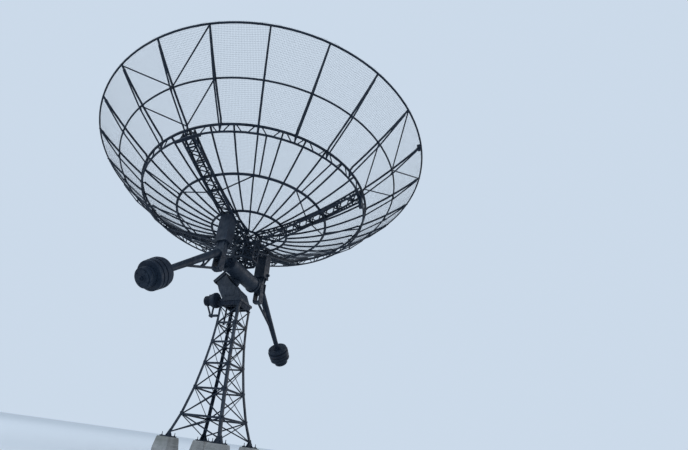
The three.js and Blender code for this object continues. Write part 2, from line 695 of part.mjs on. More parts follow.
// The drive at the -X -Y corner of the head: a gear case and motor on a seat, with a shelf and struts below
function driveUnit() {
  const at = (distance, height) => v(-distance, DRIVE_Y, height);
  const seatFace = -HEAD_HALF - HEAD_LAP - GAP;
  const legFace = -TOWER_LEVELS.at(-1).half - LEG_SECTION / Math.SQRT2 - GAP;
  const lap = (GEAR_FAR - GEAR_NEAR) / 4;
  const seat = block(
    v(-GEAR_NEAR - lap, DRIVE_SEAT.from, DRIVE_SEAT.low),
    v(seatFace, DRIVE_SEAT.to, DRIVE_SEAT.high),
  );
  const shelf = block(
    v(-DRIVE_SHELF.end, DRIVE_SHELF.from, DRIVE_SHELF.height - DRIVE_STRUT),
    v(legFace, DRIVE_SHELF.to, DRIVE_SHELF.height),
  );
  const struts = DRIVE_STRUTS.map(({ foot, head, height }) => bar(
    at(foot, DRIVE_SHELF.height - DRIVE_STRUT / 2),
    at(head, height),
    DRIVE_STRUT,
    DRIVE_STRUT,
    ALONG_X,
  ));
  return join([
    rod(at(GEAR_NEAR, DRIVE_HEIGHT), at(GEAR_FAR, DRIVE_HEIGHT), GEAR_RADIUS, GEAR_RADIUS, GEAR_SIDES),
    rod(at(GEAR_FAR - lap, DRIVE_HEIGHT), at(MOTOR_FAR, DRIVE_HEIGHT), MOTOR_RADIUS, MOTOR_RADIUS, MOTOR_SIDES),
    seat,
    shelf,
    ...struts,
  ]);
}

// One leg of the tower, on the +X +Y corner, with its foot plate and cap
function towerLeg() {
  const reach = ({ half }) => half * Math.SQRT2;
  const halfSection = LEG_SECTION / 2;
  const inside = TOWER_LEVELS.map((level) => [reach(level) - halfSection, level.height]);
  const outside = TOWER_LEVELS.map((level) => [reach(level) + halfSection, level.height]);
  const shaft = plateXZ([...outside, ...inside.reverse()], LEG_SECTION);
  const foot = TOWER_LEVELS[0];
  const top = TOWER_LEVELS.at(-1);
  const plateBottom = FOOTING_TOP_HEIGHT + GAP;
  const plate = FOOT_PLATE / 2;
  const cap = CAP_SIZE / 2;
  return join([
    turned(shaft, QUARTER / 2),
    block(
      v(foot.half - plate, foot.half - plate, plateBottom),
      v(foot.half + plate, foot.half + plate, foot.height + FOOT_PLATE_LAP),
    ),
    block(
      v(top.half - cap, top.half - cap, top.height - CAP_LAP),
      v(top.half + cap, top.half + cap, HEAD_BOTTOM - GAP),
    ),
  ]);
}

// One flat side of the tower's bracing, on the +X side, between two legs
function towerBracing() {
  const last = TOWER_LEVELS.length - 1;
  const ends = [];
  TOWER_LEVELS.forEach(({ height, half }, i) => {
    const above = TOWER_LEVELS[Math.min(i + 1, last)];
    const lean = (half - above.half) / Math.max(above.height - height, 1);
    const face = half - (LEG_SECTION / Math.SQRT2) * (1 + lean * lean) - (lean * TOWER_BAR) / 2 - GAP;
    ends.push({ height, half, face });
  });
  ends[0].height += BRACE_START_LIFT;
  ends[last].height -= TOWER_BRACE;
  const corner = ({ height, half, face }, side, inset) => v(half, side * (face - inset), height);
  const solids = [];
  for (let i = 1; i <= last; i += 1) {
    const low = ends[i - 1];
    const high = ends[i];
    const inset = i === 1 ? TOWER_BRACE : TOWER_BRACE / 2;
    solids.push(lath(corner(low, -1, inset), corner(high, 1, inset), TOWER_BRACE, ALONG_X));
    solids.push(lath(corner(low, 1, inset), corner(high, -1, inset), TOWER_BRACE, ALONG_X));
    if (i < last) {
      solids.push(bar(corner(high, -1, 0), corner(high, 1, 0), TOWER_BAR, TOWER_BAR, ALONG_X));
    }
  }
  return join(solids);
}

// A concrete footing that tapers upwards
function footing() {
  const geometry = new THREE.CylinderGeometry(
    FOOTING_TOP / Math.SQRT2,
    FOOTING_BOTTOM / Math.SQRT2,
    FOOTING_TOP_HEIGHT,
    4,
  );
  geometry.rotateY(Math.PI / 4);
  geometry.rotateX(Math.PI / 2);
  geometry.translate(0, 0, FOOTING_TOP_HEIGHT / 2);
  return toSolid(geometry);
}

const telescope = new THREE.Group();

function place(name, solid, material, angle = 0, position = v(0, 0, 0)) {
  const mesh = new THREE.Mesh(toGeometry(solid), material);
  mesh.name = name;
  mesh.rotation.z = angle;
  mesh.position.copy(position);
  telescope.add(mesh);
}

// Quarters are numbered from +X towards +Y, and beams are named by the side that they point to
const quarterNames = ['1', '2', '3', '4'];
const beamNames = ['polar_side', 'left', 'back', 'right'];
const innerStations = [0, ...LONG_STATIONS.slice(1, -1), TRUSS_RING - GAP / 2];
const outerStations = [OUTER_SCREEN_START, ...OUTER_STATIONS.slice(1)];
const screenInner = screenQuarter(innerStations, INNER_SCREEN_BARS);
const screenOuter = screenQuarter(outerStations, OUTER_SCREEN_BARS);
const inner = [innerFrame(0), innerFrame(1)];
const outer = outerFrame();
const beam = mainBeam();

quarterNames.forEach((label, quarter) => {
  const angle = quarter * QUARTER;
  place(`screen_inner_${label}`, screenInner, screen(), angle);
  place(`screen_outer_${label}`, screenOuter, screen(), angle);
  place(`inner_frame_${label}`, inner[quarter % 2], steel(), angle);
  place(`outer_frame_${label}`, outer, steel(), angle);
  place(`beam_${beamNames[quarter]}`, beam, steel(), angle);
});
place('hub_drum', hubDrum(), steel());

const columnSolid = column();
const arm = counterweightArm();
const weightSolid = counterweight();
for (const [label, angle] of [['left', 0], ['right', Math.PI]]) {
  place(`column_${label}`, columnSolid, steel(), angle);
  place(`counterweight_arm_${label}`, arm, steel(), angle);
  place(`counterweight_${label}`, weightSolid, darkSteel(), angle);
}

place('declination_tube', declinationTube(), steel());
place('polar_shaft', polarShaft(), steel());
place('polar_housing', polarHousing(), steel());
place('housing_roof', housingRoof(), steel());
place('head_plate', headPlate(), steel());
place('head_frame', headFrame(), steel());
place('drive_unit', driveUnit(), darkSteel());

const leg = towerLeg();
const bracing = towerBracing();
const footingSolid = footing();
for (let side = 0; side < 4; side += 1) {
  const angle = side * QUARTER;
  const foot = TOWER_LEVELS[0].half;
  const position = v(foot, foot, 0).applyAxisAngle(UP, angle);
  place(`tower_leg_${side + 1}`, leg, steel(), angle);
  place(`tower_bracing_${side + 1}`, bracing, steel(), angle);
  place(`footing_${side + 1}`, footingSolid, concrete(), 0, position);
}

export default telescope;
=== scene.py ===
# A radio telescope dish: a nine metre wire-mesh reflector on an equatorial mount and a lattice tower.
# Metres, +Z up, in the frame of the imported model: the origin is on the ground under the tower's axis.
# The polar axis rises towards +X. The declination axis lies along Y.

import math

import bpy
from mathutils import Matrix, Vector


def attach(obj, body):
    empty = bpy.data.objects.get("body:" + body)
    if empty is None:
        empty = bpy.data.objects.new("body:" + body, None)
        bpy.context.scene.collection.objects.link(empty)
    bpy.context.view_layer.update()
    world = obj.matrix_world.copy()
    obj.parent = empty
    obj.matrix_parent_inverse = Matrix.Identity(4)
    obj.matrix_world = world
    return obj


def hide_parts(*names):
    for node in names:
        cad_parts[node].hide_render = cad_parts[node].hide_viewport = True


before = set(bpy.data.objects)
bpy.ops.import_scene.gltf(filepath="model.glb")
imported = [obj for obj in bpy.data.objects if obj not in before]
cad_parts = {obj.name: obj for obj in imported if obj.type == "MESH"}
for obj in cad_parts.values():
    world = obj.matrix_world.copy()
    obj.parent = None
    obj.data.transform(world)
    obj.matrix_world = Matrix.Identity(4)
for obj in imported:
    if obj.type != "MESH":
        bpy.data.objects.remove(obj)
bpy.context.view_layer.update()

# Reflector
DISH_RADIUS = 4.5
FOCAL_LENGTH = 2.6
RIM_HEIGHT = 7.172
VERTEX_HEIGHT = RIM_HEIGHT - DISH_RADIUS**2 / (4 * FOCAL_LENGTH)
INNER_RING = 1.01
SECOND_RING = 2.02
TRUSS_RING = 3.06
MIDDLE_RING = 3.77
RIM_RING = 4.479
INNER_BAY = 10
OUTER_BAY = 15
INNER_RIB_START = 0.3
SHORT_RIB_START = 1.0
INNER_RIB_END = 3.0

# Wire mesh
WIRE_PITCH = 0.03
WIRE_RADIUS = 0.0014
WIRE_STEP = 0.15
MESH_CENTRE = 0.05
WIRE_CORNERS = ((0.0, 1.0), (-0.87, -0.5), (0.87, -0.5))

# Backing frame: a drop is how far the middle of a member lies under the mesh, a tube's size is its radius
RIB_DROP = 0.0264
OUTER_RIB_DROP = 0.0334
RING_DROP = 0.03
RING_WIDTH = 0.058
RING_DEPTH = 0.044
MIDDLE_DROP = 0.092
RIM_DROP = 0.021
RIM_TUBE = 0.02
MIDDLE_TUBE = 0.019
INNER_RIB_SECTION = (0.036, 0.046, 0.009)
OUTER_RIB_SECTION = (0.034, 0.05, 0.009)
UPPER_TUBE = 0.029
LOWER_TUBE = 0.024
POST_TUBE = 0.019
STOOL_TUBE = 0.017
STRUT_TUBE = 0.018
BRACE_TUBE = 0.015
LONG_BRACE_TUBE = 0.016
GUSSET = 0.008
TRUSS_UPPER_RING = 3.045
TRUSS_LOWER_RING = 3.0
TRUSS_UPPER_DROP = 0.096
TRUSS_DEPTH = 0.18
TRUSS_LOW_HEIGHT = VERTEX_HEIGHT + TRUSS_RING**2 / (4 * FOCAL_LENGTH) - TRUSS_UPPER_DROP - TRUSS_DEPTH
POST_RADIUS = 3.032
KNEE_DROP = 0.18
CHORD_END = 4.4
CHORD_END_DROP = 0.068
BRACE_END = 3.1
LONG_BRACE_END = 1.68
LONG_BRACE_ANGLE = 5.2
STRUT_BAY = 30
STRUT_DROP = 0.062
STRUT_SHIFT = 3.7
INNER_STRUT_END = 2.01
INNER_STRUT_DROP = 0.05

# Main beams
BEAM_HALF = 0.158
BEAM_CHORD = 0.04
BEAM_TOP_DROP = 0.074
BEAM_LOW_START = 4.855
BEAM_LOW_SLOPE = 0.378
BEAM_START = 0.33
BEAM_UPPER_END = 3.003
BEAM_LOWER_END = 2.95
LACE_PITCH = 0.185
LACE_RADIUS = 0.015
BATTEN = 0.028
SIDE_LACE_RADIUS = 0.009
TRUSS_LACE = 0.013
CROSS_BAR_HALF = 0.33
CROSS_BAR = 0.05
HANGING_BOX_BOTTOM = 5.57

# Hub drum
HUB_RADIUS = 0.33
HUB_BOTTOM = 4.4
HUB_LOW = 4.625
HUB_MIDDLE = 4.85
HUB_TOP_DROP = 0.075
HUB_SIDES = 8
HUB_RING = 0.05
HUB_POST = 0.038
HUB_TUBE = 0.05
HUB_LACE = 0.015
HUB_SPOKE = 0.018

# Axes
AXIS_HEIGHT = 4.05
POLAR_TILT = math.radians(40.5)
POLAR_DIRECTION = Vector((math.cos(POLAR_TILT), 0, math.sin(POLAR_TILT)))
ACROSS_POLAR = Vector((-math.sin(POLAR_TILT), 0, math.cos(POLAR_TILT)))
TUBE_RADIUS = 0.195
TUBE_HALF = 0.64
STUB_RADIUS = 0.062
STUB_END = 1.06
NECK_RADIUS = 0.15
FLANGE_RADIUS = 0.17
FLANGE_START = 0.215
FLANGE_END = 0.258
SHAFT_RADIUS = 0.095
HOUSING_FACE = 0.27
HOUSING_FACE_LOW = 0.17
HOUSING_FACE_HIGH = 0.19
HOUSING_ROOF_LENGTH = 0.29

# Columns and counterweight arms
COLUMN_NEAR = 0.85
COLUMN_FAR = 1.13
COLUMN_HALF = 0.155
COLUMN_FOOT = 4.4
PRONG_MIDDLE = 0.083
PRONG_THICKNESS = 0.034
PRONG_BOTTOM = 3.67
PRONG_NEAR = 0.9
PRONG_FAR = 1.09
ARM_ROOT = Vector((0, 1.07, 4.11))
WEIGHT_CENTRE = Vector((0, 2.65, 2.79))
ARM_DIRECTION = (WEIGHT_CENTRE - ARM_ROOT).normalized()
ARM_ROOT_RADIUS = 0.095
ARM_TIP_RADIUS = 0.062
ARM_PLATE = 0.016
ARM_PLATE_HALF = 0.13
ARM_PLATE_BOTTOM = 3.98
ARM_PLATE_TOP = 4.26
ARM_COLLAR = 0.03
ARM_COLLAR_RADIUS = 0.1
ARM_STRUT = 0.05
ARM_STRUT_MEETS = 0.72
ARM_TIE = 0.036
ARM_TIE_FOOT = 0.4
ARM_TIES_MEET = (0.3, 0.08)
WEIGHT_RADIUS = 0.29
WEIGHT_HALF = 0.165
CAP_RADIUS = 0.185
CAP_LENGTH = 0.16

# Tower: heights and half widths between leg centres
TOWER_LEVELS = ((0.392, 0.584), (0.79, 0.469), (1.31, 0.367), (1.82, 0.3), (2.29, 0.255), (2.73, 0.235),
                (3.14, 0.235))
FOOT_HALF = 0.584
FOOTING_HEIGHT = 0.37
FOOTING_TOP = 0.3
FOOTING_BOTTOM = 0.36
LEG_HEEL = 0.03
LEG_SIZE = 0.058
LEG_THICKNESS = 0.009
FOOT_PLATE_HALF = 0.115
ANCHOR_REACH = 0.085
PAD_BOTTOM = 3.13
PAD_NEAR = 0.198
PAD_FAR = 0.272

# Head of the tower
HEAD_BOTTOM = 3.16
PLATE_BOTTOM = 3.275
PLATE_TOP = 3.3
PLATE_HALF = 0.29
HOUSING_HALF = 0.235
BASE_FLANGE = 0.014
HATCH_X = -0.07
HATCH_HEIGHT = 3.495
HATCH_HALF_LENGTH = 0.13
HATCH_HALF_HEIGHT = 0.105
HATCH_BOLT_INSET = 0.015
SKIRT_LOW_HALF = 0.248
SKIRT_HIGH_HALF = 0.276
HEAD_BEAM_HEIGHT = 3.2
HEAD_BEAM_HALF = 0.24
HEAD_BEAM_Y = 0.12
PIPE_LENGTH = 0.41

# Drive, on the -X side of the head
DRIVE_Y = -0.27
DRIVE_HEIGHT = 3.27
GEAR_RADIUS = 0.185
GEAR_NEAR = 0.35
GEAR_FAR = 0.5
MOTOR_RADIUS = 0.12
MOTOR_FAR = 0.69
SHELF_HEIGHT = 2.915
SHELF_LOW = (-0.49, -0.29, SHELF_HEIGHT - 0.036)
SHELF_HIGH = (-0.2707, -0.215, SHELF_HEIGHT)
SEAT_LOW = (-0.3875, -0.262, 3.165)
SEAT_HIGH = (-0.2703, -0.14, 3.265)
DRIVE_STRUT = 0.036
DRIVE_STRUT_Y = -0.2525

# Directions, the corners of a square, and the angles from which edges stay sharp and are rounded
X = Vector((1, 0, 0))
Y = Vector((0, 1, 0))
Z = Vector((0, 0, 1))
SQUARE = ((-1, -1), (1, -1), (1, 1), (-1, 1))
SHARP_ANGLE = math.radians(35)
BEVEL_ANGLE = math.radians(30)


# Geometry


class Form:
    """The points and faces of a piece while it is being made."""

    def __init__(self):
        self.points = []
        self.faces = []

    def add(self, points, faces):
        first = len(self.points)
        self.points.extend(points)
        self.faces.extend(tuple(first + i for i in face) for face in faces)

    def moved(self, matrix):
        copy = Form()
        copy.add([matrix @ point for point in self.points], self.faces)
        return copy


def turned(form, degrees):
    return form.moved(Matrix.Rotation(math.radians(degrees), 4, "Z"))


def round_profile(radius, sides=10):
    step = 2 * math.pi / sides
    return [(radius * math.cos(step * i), radius * math.sin(step * i)) for i in range(sides)]


def box_profile(width, depth, cut=0.0):
    """A rectangle, with its corners cut off where a cut is given."""
    a, b = width / 2, depth / 2
    if not cut:
        return [(a * x, b * y) for x, y in SQUARE]
    c, d = a - cut, b - cut
    return [(-c, -b), (c, -b), (a, -d), (a, d), (c, b), (-c, b), (-a, d), (-a, -d)]


def tilted(profile, radius):
    """The profile of a ring, laid parallel to the mesh at its radius."""
    slope = math.atan(radius / (2 * FOCAL_LENGTH))
    cos, sin = math.cos(slope), math.sin(slope)
    return [(a * cos + b * sin, b * cos - a * sin) for a, b in profile]


def skin(form, points, sides, closed=False):
    """Adds rows of points, the faces between them and a face at each end."""
    count = len(points) // sides
    faces = []
    for i in range(count if closed else count - 1):
        a = i * sides
        b = (i + 1) % count * sides
        for j in range(sides):
            k = (j + 1) % sides
            faces.append((a + j, a + k, b + k, b + j))
    if not closed:
        faces.append(tuple(reversed(range(sides))))
        faces.append(tuple((count - 1) * sides + j for j in range(sides)))
    form.add(points, faces)


def sweep(form, path, profile, up=Z, closed=False):
    """Carries a profile along a path; up is the direction of the profile's second number."""
    count = len(path)
    points = []
    for i, place in enumerate(path):
        before = path[i - 1] if closed or i > 0 else place
        after = path[(i + 1) % count] if closed or i < count - 1 else place
        along = (after - before).normalized()
        side = up.cross(along).normalized()
        top = along.cross(side)
        points += [place + side * across + top * lift for across, lift in profile]
    skin(form, points, len(profile), closed)


def tube(form, start, end, radius, sides=10):
    up = Z if abs((end - start).normalized().z) < 0.95 else X
    sweep(form, [start, end], round_profile(radius, sides), up)


def circle(centre, axis, radius, count, first=0.0):
    """Points evenly round an axis; first is the share of a step before the first one."""
    axis = axis.normalized()
    side = (Z if abs(axis.z) < 0.95 else X).cross(axis).normalized()
    top = axis.cross(side)
    angles = [2 * math.pi * (i + first) / count for i in range(count)]
    return [centre + (side * math.cos(angle) + top * math.sin(angle)) * radius for angle in angles]


def square_bar(form, start, end, size, cut=0.0, up=Z):
    sweep(form, [start, end], box_profile(size, size, cut), up)


def turn_outline(form, start, along, outline, sides=32):
    """A turned shape; the outline is a row of distances along its axis and radii."""
    along = along.normalized()
    points = []
    for distance, radius in outline:
        points += circle(start + along * distance, along, radius, sides)
    skin(form, points, sides)


def plate(form, corners, thickness):
    """A flat plate with its middle plane through the corners."""
    normal = (corners[1] - corners[0]).cross(corners[2] - corners[1]).normalized()
    half = normal * thickness / 2
    skin(form, [corner + offset for offset in (-half, half) for corner in corners], len(corners))


def slab(form, low, high):
    """A level box between its lowest and its highest corner."""
    middle = (low[2] + high[2]) / 2
    corners = ((low[0], low[1]), (high[0], low[1]), (high[0], high[1]), (low[0], high[1]))
    plate(form, [Vector((x, y, middle)) for x, y in corners], high[2] - low[2])


def plate_xz(form, outline, thickness, y=0.0):
    """A plate from an outline in the X-Z plane, given anticlockwise as seen from -Y."""
    plate(form, [Vector((x, y, z)) for x, z in outline], thickness)


def bolt(form, place, direction, size):
    """A washer with a hexagon head on it."""
    direction = direction.normalized()
    turn_outline(form, place, direction, [(0, size * 1.15), (size * 0.2, size * 1.15)], 12)
    head = [(0, size * 0.9), (size * 0.7, size * 0.9), (size * 0.85, size * 0.7)]
    turn_outline(form, place + direction * size * 0.2, direction, head, 6)


def bolt_circle(form, centre, direction, radius, count, size):
    for place in circle(centre, direction, radius, count, 0.5):
        bolt(form, place, direction, size)


def new_object(name, data):
    made = bpy.data.objects.new(name, data)
    bpy.context.scene.collection.objects.link(made)
    return made


def finished(name, form, material, body, replaced=(), bevel=0.0):
    """Makes the mesh object of a piece, rounds its edges and ties it to its body."""
    mesh = bpy.data.meshes.new(name)
    mesh.from_pydata([tuple(point) for point in form.points], [], form.faces)
    mesh.materials.append(material)
    mesh.shade_smooth()
    mesh.set_sharp_from_angle(angle=SHARP_ANGLE)
    piece = new_object(name, mesh)
    if bevel:
        edge = piece.modifiers.new("edges", "BEVEL")
        edge.width = bevel
        edge.segments = 2
        edge.limit_method = "ANGLE"
        edge.angle_limit = BEVEL_ANGLE
    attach(piece, body)
    if replaced:
        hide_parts(*replaced)


def steel_piece(name, form, body, *replaced, bevel=0.0):
    """A piece in the common paint, shown instead of the CAD nodes that are named."""
    finished(name, form, STEEL, body, replaced, bevel)


def dark_piece(name, form, body, *replaced):
    """A piece in the darker paint, shown instead of the CAD nodes that are named. On the platform skirt this
    darker tone is painted shade.
    """
    finished(name, form, DARK_STEEL, body, replaced)


def surface_height(radius):
    return VERTEX_HEIGHT + radius * radius / (4 * FOCAL_LENGTH)


def around(radius, degrees, height):
    angle = math.radians(degrees)
    return Vector((radius * math.cos(angle), radius * math.sin(angle), height))


def on_frame(radius, degrees, drop):
    """A point at a radius and an angle, a given drop under the mesh."""
    return around(radius, degrees, surface_height(radius) - drop)


def stations(start, end, step):
    count = max(1, math.ceil((end - start) / step - 1e-6))
    return [start + (end - start) * i / count for i in range(count + 1)]


# Materials


class Finish:
    """A material's nodes, added one after another."""

    def __init__(self, name, roughness, metallic):
        self.material = bpy.data.materials.new(name)
        self.material.use_nodes = True
        self.tree = self.material.node_tree
        self.shader = self.tree.nodes["Principled BSDF"]
        self.fill(self.shader, {"Roughness": roughness, "Metallic": metallic})
        self.place = self.node("TexCoord", {}).outputs["Object"]

    def fill(self, node, inputs):
        """Sets each input to its value, or links it where the value is another node's output."""
        for name, value in inputs.items():
            if isinstance(value, bpy.types.NodeSocket):
                self.tree.links.new(value, node.inputs[name])
            else:
                node.inputs[name].default_value = value

    def node(self, kind, inputs):
        node = self.tree.nodes.new("ShaderNode" + kind)
        self.fill(node, inputs)
        return node

    def stretched(self, scale):
        return self.node("Mapping", {"Vector": self.place, "Scale": scale}).outputs["Vector"]

    def noise(self, scale, detail=4.0, low=0.3, high=0.7, to=(0.0, 1.0), place=None):
        """Cloudy noise, spread from the range low..high to the range in to."""
        clouds = self.node("TexNoise", {"Vector": place or self.place, "Scale": scale, "Detail": detail})
        ends = {"From Min": low, "From Max": high, "To Min": to[0], "To Max": to[1]}
        return self.node("MapRange", {"Value": clouds.outputs["Fac"], **ends}).outputs["Result"]

    def mixed(self, share, *colours):
        """Two colours mixed, where a colour is three numbers or another node's output."""
        first, second = [(*colour, 1) if isinstance(colour, tuple) else colour for colour in colours]
        node = self.node("Mix", {"Factor": share, 6: first, 7: second})
        node.data_type = "RGBA"
        return node.outputs[2]

    def product(self, first, second):
        node = self.node("Math", {0: first, 1: second})
        node.operation = "MULTIPLY"
        return node.outputs[0]

    def cover(self, colour, roughness):
        self.fill(self.shader, {"Base Color": colour, "Roughness": roughness})

    def bump(self, source, strength, distance):
        """Adds a bump on top of the one before it."""
        node = self.node("Bump", {"Height": source, "Strength": strength, "Distance": distance})
        for before in self.shader.inputs["Normal"].links:
            self.fill(node, {"Normal": before.from_socket})
        self.fill(self.shader, {"Normal": node.outputs["Normal"]})


def painted_steel(name, paint, faded, rust_share):
    """Weathered paint: uneven fading, rain streaks, specks of rust and a slight orange peel. The paint and
    faded colours passed in are partly real paint and partly painted dusk shade and painted sky reflection.
    """
    finish = Finish(name, 0.5, 0.0)
    finish.shader.inputs["Specular IOR Level"].default_value = 0.17
    streaks = finish.noise(1, 5, 0.42, 0.75, place=finish.stretched((26, 26, 1.6)))
    blotches = finish.noise(2.3, 5, 0.35, 0.68)
    colour = finish.mixed(blotches, paint, faded)
    colour = finish.mixed(finish.product(streaks, finish.noise(5, 3)), colour, (0.03, 0.041, 0.055))
    rust_areas = finish.noise(1.9, 3, 0.52, 0.66, (0, rust_share))
    specks = finish.product(finish.noise(21, 8, 0.6, 0.72), rust_areas)
    colour = finish.mixed(specks, colour, (0.07, 0.032, 0.016))
    finish.cover(colour, finish.noise(9, 6, to=(0.42, 0.66)))
    finish.bump(finish.noise(240, 3), 0.12, 0.001)
    finish.bump(finish.noise(34, 6), 0.1, 0.003)
    return finish.material


def galvanised_wire():
    """Zinc coated wire, dulled by weather."""
    finish = Finish("galvanised_wire", 0.5, 0.25)
    colour = finish.mixed(finish.noise(1.4, 5), (0.085, 0.095, 0.11), (0.13, 0.14, 0.155))
    colour = finish.mixed(finish.noise(60, 4, 0.58, 0.7, (0, 0.5)), colour, (0.09, 0.06, 0.045))
    finish.cover(colour, finish.noise(30, 4, to=(0.42, 0.62)))
    finish.bump(finish.noise(400, 2), 0.15, 0.0005)
    return finish.material


def cast_concrete():
    """Grey concrete with board marks, pores and damp stains."""
    finish = Finish("cast_concrete", 0.88, 0.0)
    boards = finish.noise(1, 3, 0.4, 0.62, place=finish.stretched((2, 2, 24)))
    colour = finish.mixed(finish.noise(5, 7), (0.22, 0.22, 0.215), (0.34, 0.34, 0.33))
    colour = finish.mixed(finish.product(boards, finish.noise(3, 3)), colour, (0.17, 0.17, 0.165))
    colour = finish.mixed(finish.noise(90, 3, 0.64, 0.7, (0, 0.7)), colour, (0.1, 0.1, 0.095))
    colour = finish.mixed(finish.noise(2.2, 6, 0.55, 0.7, (0, 0.6)), colour, (0.13, 0.137, 0.12))
    finish.cover(colour, finish.noise(14, 5, to=(0.78, 0.95)))
    finish.bump(finish.noise(120, 5), 0.4, 0.002)
    finish.bump(boards, 0.3, 0.003)
    return finish.material


# These paint colours are partly the real dark slate paint and partly painted light: darkened as painted dusk
# shade and blued as a painted sky reflection.
STEEL = painted_steel("steel_paint", (0.006, 0.012, 0.023), (0.014, 0.024, 0.041), 0.6)
DARK_STEEL = painted_steel("dark_paint", (0.005, 0.01, 0.021), (0.012, 0.022, 0.039), 0.5)
WIRE = galvanised_wire()
CONCRETE = cast_concrete()


# Reflector


def wire(form, along, across, fixed, start, end, lift):
    """One thin three-sided wire on the paraboloid, from start to end along one direction."""
    if end - start < WIRE_RADIUS * 4:
        return
    first = len(form.points)
    places = stations(start, end, WIRE_STEP)
    for distance in places:
        x = along.x * distance + across.x * fixed
        y = along.y * distance + across.y * fixed
        z = surface_height(math.hypot(x, y)) + lift
        for a, b in WIRE_CORNERS:
            form.points.append(
                (x + across.x * a * WIRE_RADIUS, y + across.y * a * WIRE_RADIUS, z + b * WIRE_RADIUS)
            )
    for i in range(len(places) - 1):
        p = first + 3 * i
        form.faces.append((p, p + 1, p + 4, p + 3))
        form.faces.append((p + 1, p + 2, p + 5, p + 4))
        form.faces.append((p + 2, p, p + 3, p + 5))
    last = first + 3 * (len(places) - 1)
    form.faces.append((first + 2, first + 1, first))
    form.faces.append((last, last + 1, last + 2))


def mesh_panel(form, middle, half, inner, outer):
    """Welded mesh between two ribs, with its wires along and across the panel's middle line."""
    angle = math.radians(middle)
    along = Vector((math.cos(angle), math.sin(angle), 0))
    across = Vector((-along.y, along.x, 0))
    slope = math.tan(math.radians(half))
    count = math.ceil(outer * math.sin(math.radians(half)) / WIRE_PITCH - 1)
    for row in [i * WIRE_PITCH for i in range(-count, count + 1)]:
        begin = max(abs(row) / slope, math.sqrt(max(inner * inner - row * row, 0)))
        finish = math.sqrt(outer * outer - row * row)
        wire(form, along, across, row, begin, finish, 0.0)
    position = math.ceil(inner * math.cos(math.radians(half)) / WIRE_PITCH) * WIRE_PITCH
    while position < outer:
        reach = min(position * slope, math.sqrt(outer * outer - position * position))
        gap = math.sqrt(inner * inner - position * position) if position < inner else 0.0
        spans = [(-reach, reach)] if gap == 0.0 else [(-reach, -gap), (gap, reach)]
        for begin, finish in spans:
            wire(form, across, along, position, begin, finish, 2 * WIRE_RADIUS)
        position += WIRE_PITCH


def wire_mesh():
    inner = ("inner", INNER_BAY, MESH_CENTRE, TRUSS_RING)
    outer = ("outer", OUTER_BAY, TRUSS_RING, DISH_RADIUS)
    for quarter in range(4):
        for part, bay, near, far in (inner, outer):
            form = Form()
            for i in range(90 // bay):
                mesh_panel(form, quarter * 90 + (i + 0.5) * bay, bay / 2, near, far)
            label = f"{part}_{quarter + 1}"
            finished(f"mesh_{label}", form, WIRE, "dish", [f"screen_{label}"])


def quarter_circle(form, radius, height, profile, start, step=5):
    sweep(form, [around(radius, degrees, height) for degrees in stations(start, start + 90, step)], profile)


def quarter_ring(form, radius, drop, profile, start):
    quarter_circle(form, radius, surface_height(radius) - drop, profile, start, 2.5)


def rib_path(degrees, start, end, drop):
    return [on_frame(radius, degrees, drop) for radius in stations(start, end, 0.2)]


def truss_upper(degrees):
    return on_frame(TRUSS_UPPER_RING, degrees, TRUSS_UPPER_DROP)


def truss_lower(degrees):
    return around(TRUSS_LOWER_RING, degrees, TRUSS_LOW_HEIGHT)


def is_beam(degrees):
    return degrees % 90 == 0


def inner_frame(quarter):
    """Ribs, two rings and the ring truss of one inner quarter."""
    form = Form()
    start = quarter * 90
    bar = box_profile(RING_WIDTH, RING_DEPTH, 0.008)
    shift = STRUT_SHIFT if quarter % 2 else -STRUT_SHIFT
    for radius in (INNER_RING, SECOND_RING):
        quarter_ring(form, radius, RING_DROP, tilted(bar, radius), start)
    quarter_ring(form, TRUSS_UPPER_RING, TRUSS_UPPER_DROP, round_profile(UPPER_TUBE, 12), start)
    quarter_circle(form, TRUSS_LOWER_RING, TRUSS_LOW_HEIGHT, round_profile(LOWER_TUBE, 12), start)
    for degrees in range(start, start + 90, INNER_BAY):
        reaches_hub = degrees % 20 == 0 or is_beam(degrees)
        first = INNER_RIB_START if reaches_hub else SHORT_RIB_START
        sweep(form, rib_path(degrees, first, INNER_RIB_END, RIB_DROP), box_profile(*INNER_RIB_SECTION))
        rib_stool(form, degrees)
        if degrees % STRUT_BAY == 0 and not is_beam(degrees):
            inner_strut(form, degrees + shift)
    for degrees in range(start, start + 90, OUTER_BAY):
        low = around(POST_RADIUS, degrees, TRUSS_LOW_HEIGHT)
        tube(form, low, on_frame(POST_RADIUS, degrees, RIB_DROP), POST_TUBE)
    truss_lacing(form, start)
    return form


def rib_stool(form, degrees):
    """The slanted foot that carries a rib's end on the ring truss."""
    tube(form, truss_upper(degrees), on_frame(INNER_RIB_END - 0.01, degrees, RIB_DROP), STOOL_TUBE)


def inner_strut(form, degrees):
    """A strut beside a rib, from the foot of the ring truss up to the second ring, with its gusset plate."""
    tube(form, truss_lower(degrees), on_frame(INNER_STRUT_END, degrees, INNER_STRUT_DROP), STRUT_TUBE)
    corner = on_frame(SECOND_RING, degrees, RING_DROP)
    out = around(1, degrees, 0)
    plate(form, [corner - out * 0.05, corner + out * 0.13 + Z * 0.02, corner + out * 0.03 - Z * 0.06], GUSSET)


def truss_lacing(form, start):
    """Bent bars of the ring truss: down from one rib, along the lower ring and up to the next rib."""
    upper_step, lower_step = 1.2, 3.8
    for degrees in range(start, start + 90, INNER_BAY):
        upper = [truss_upper(degrees + step) for step in (upper_step, INNER_BAY - upper_step)]
        lower = [truss_lower(degrees + step) for step in (lower_step, INNER_BAY - lower_step)]
        sweep(form, [upper[0], *lower, upper[1]], round_profile(TRUSS_LACE, 8), around(1, degrees, 0))


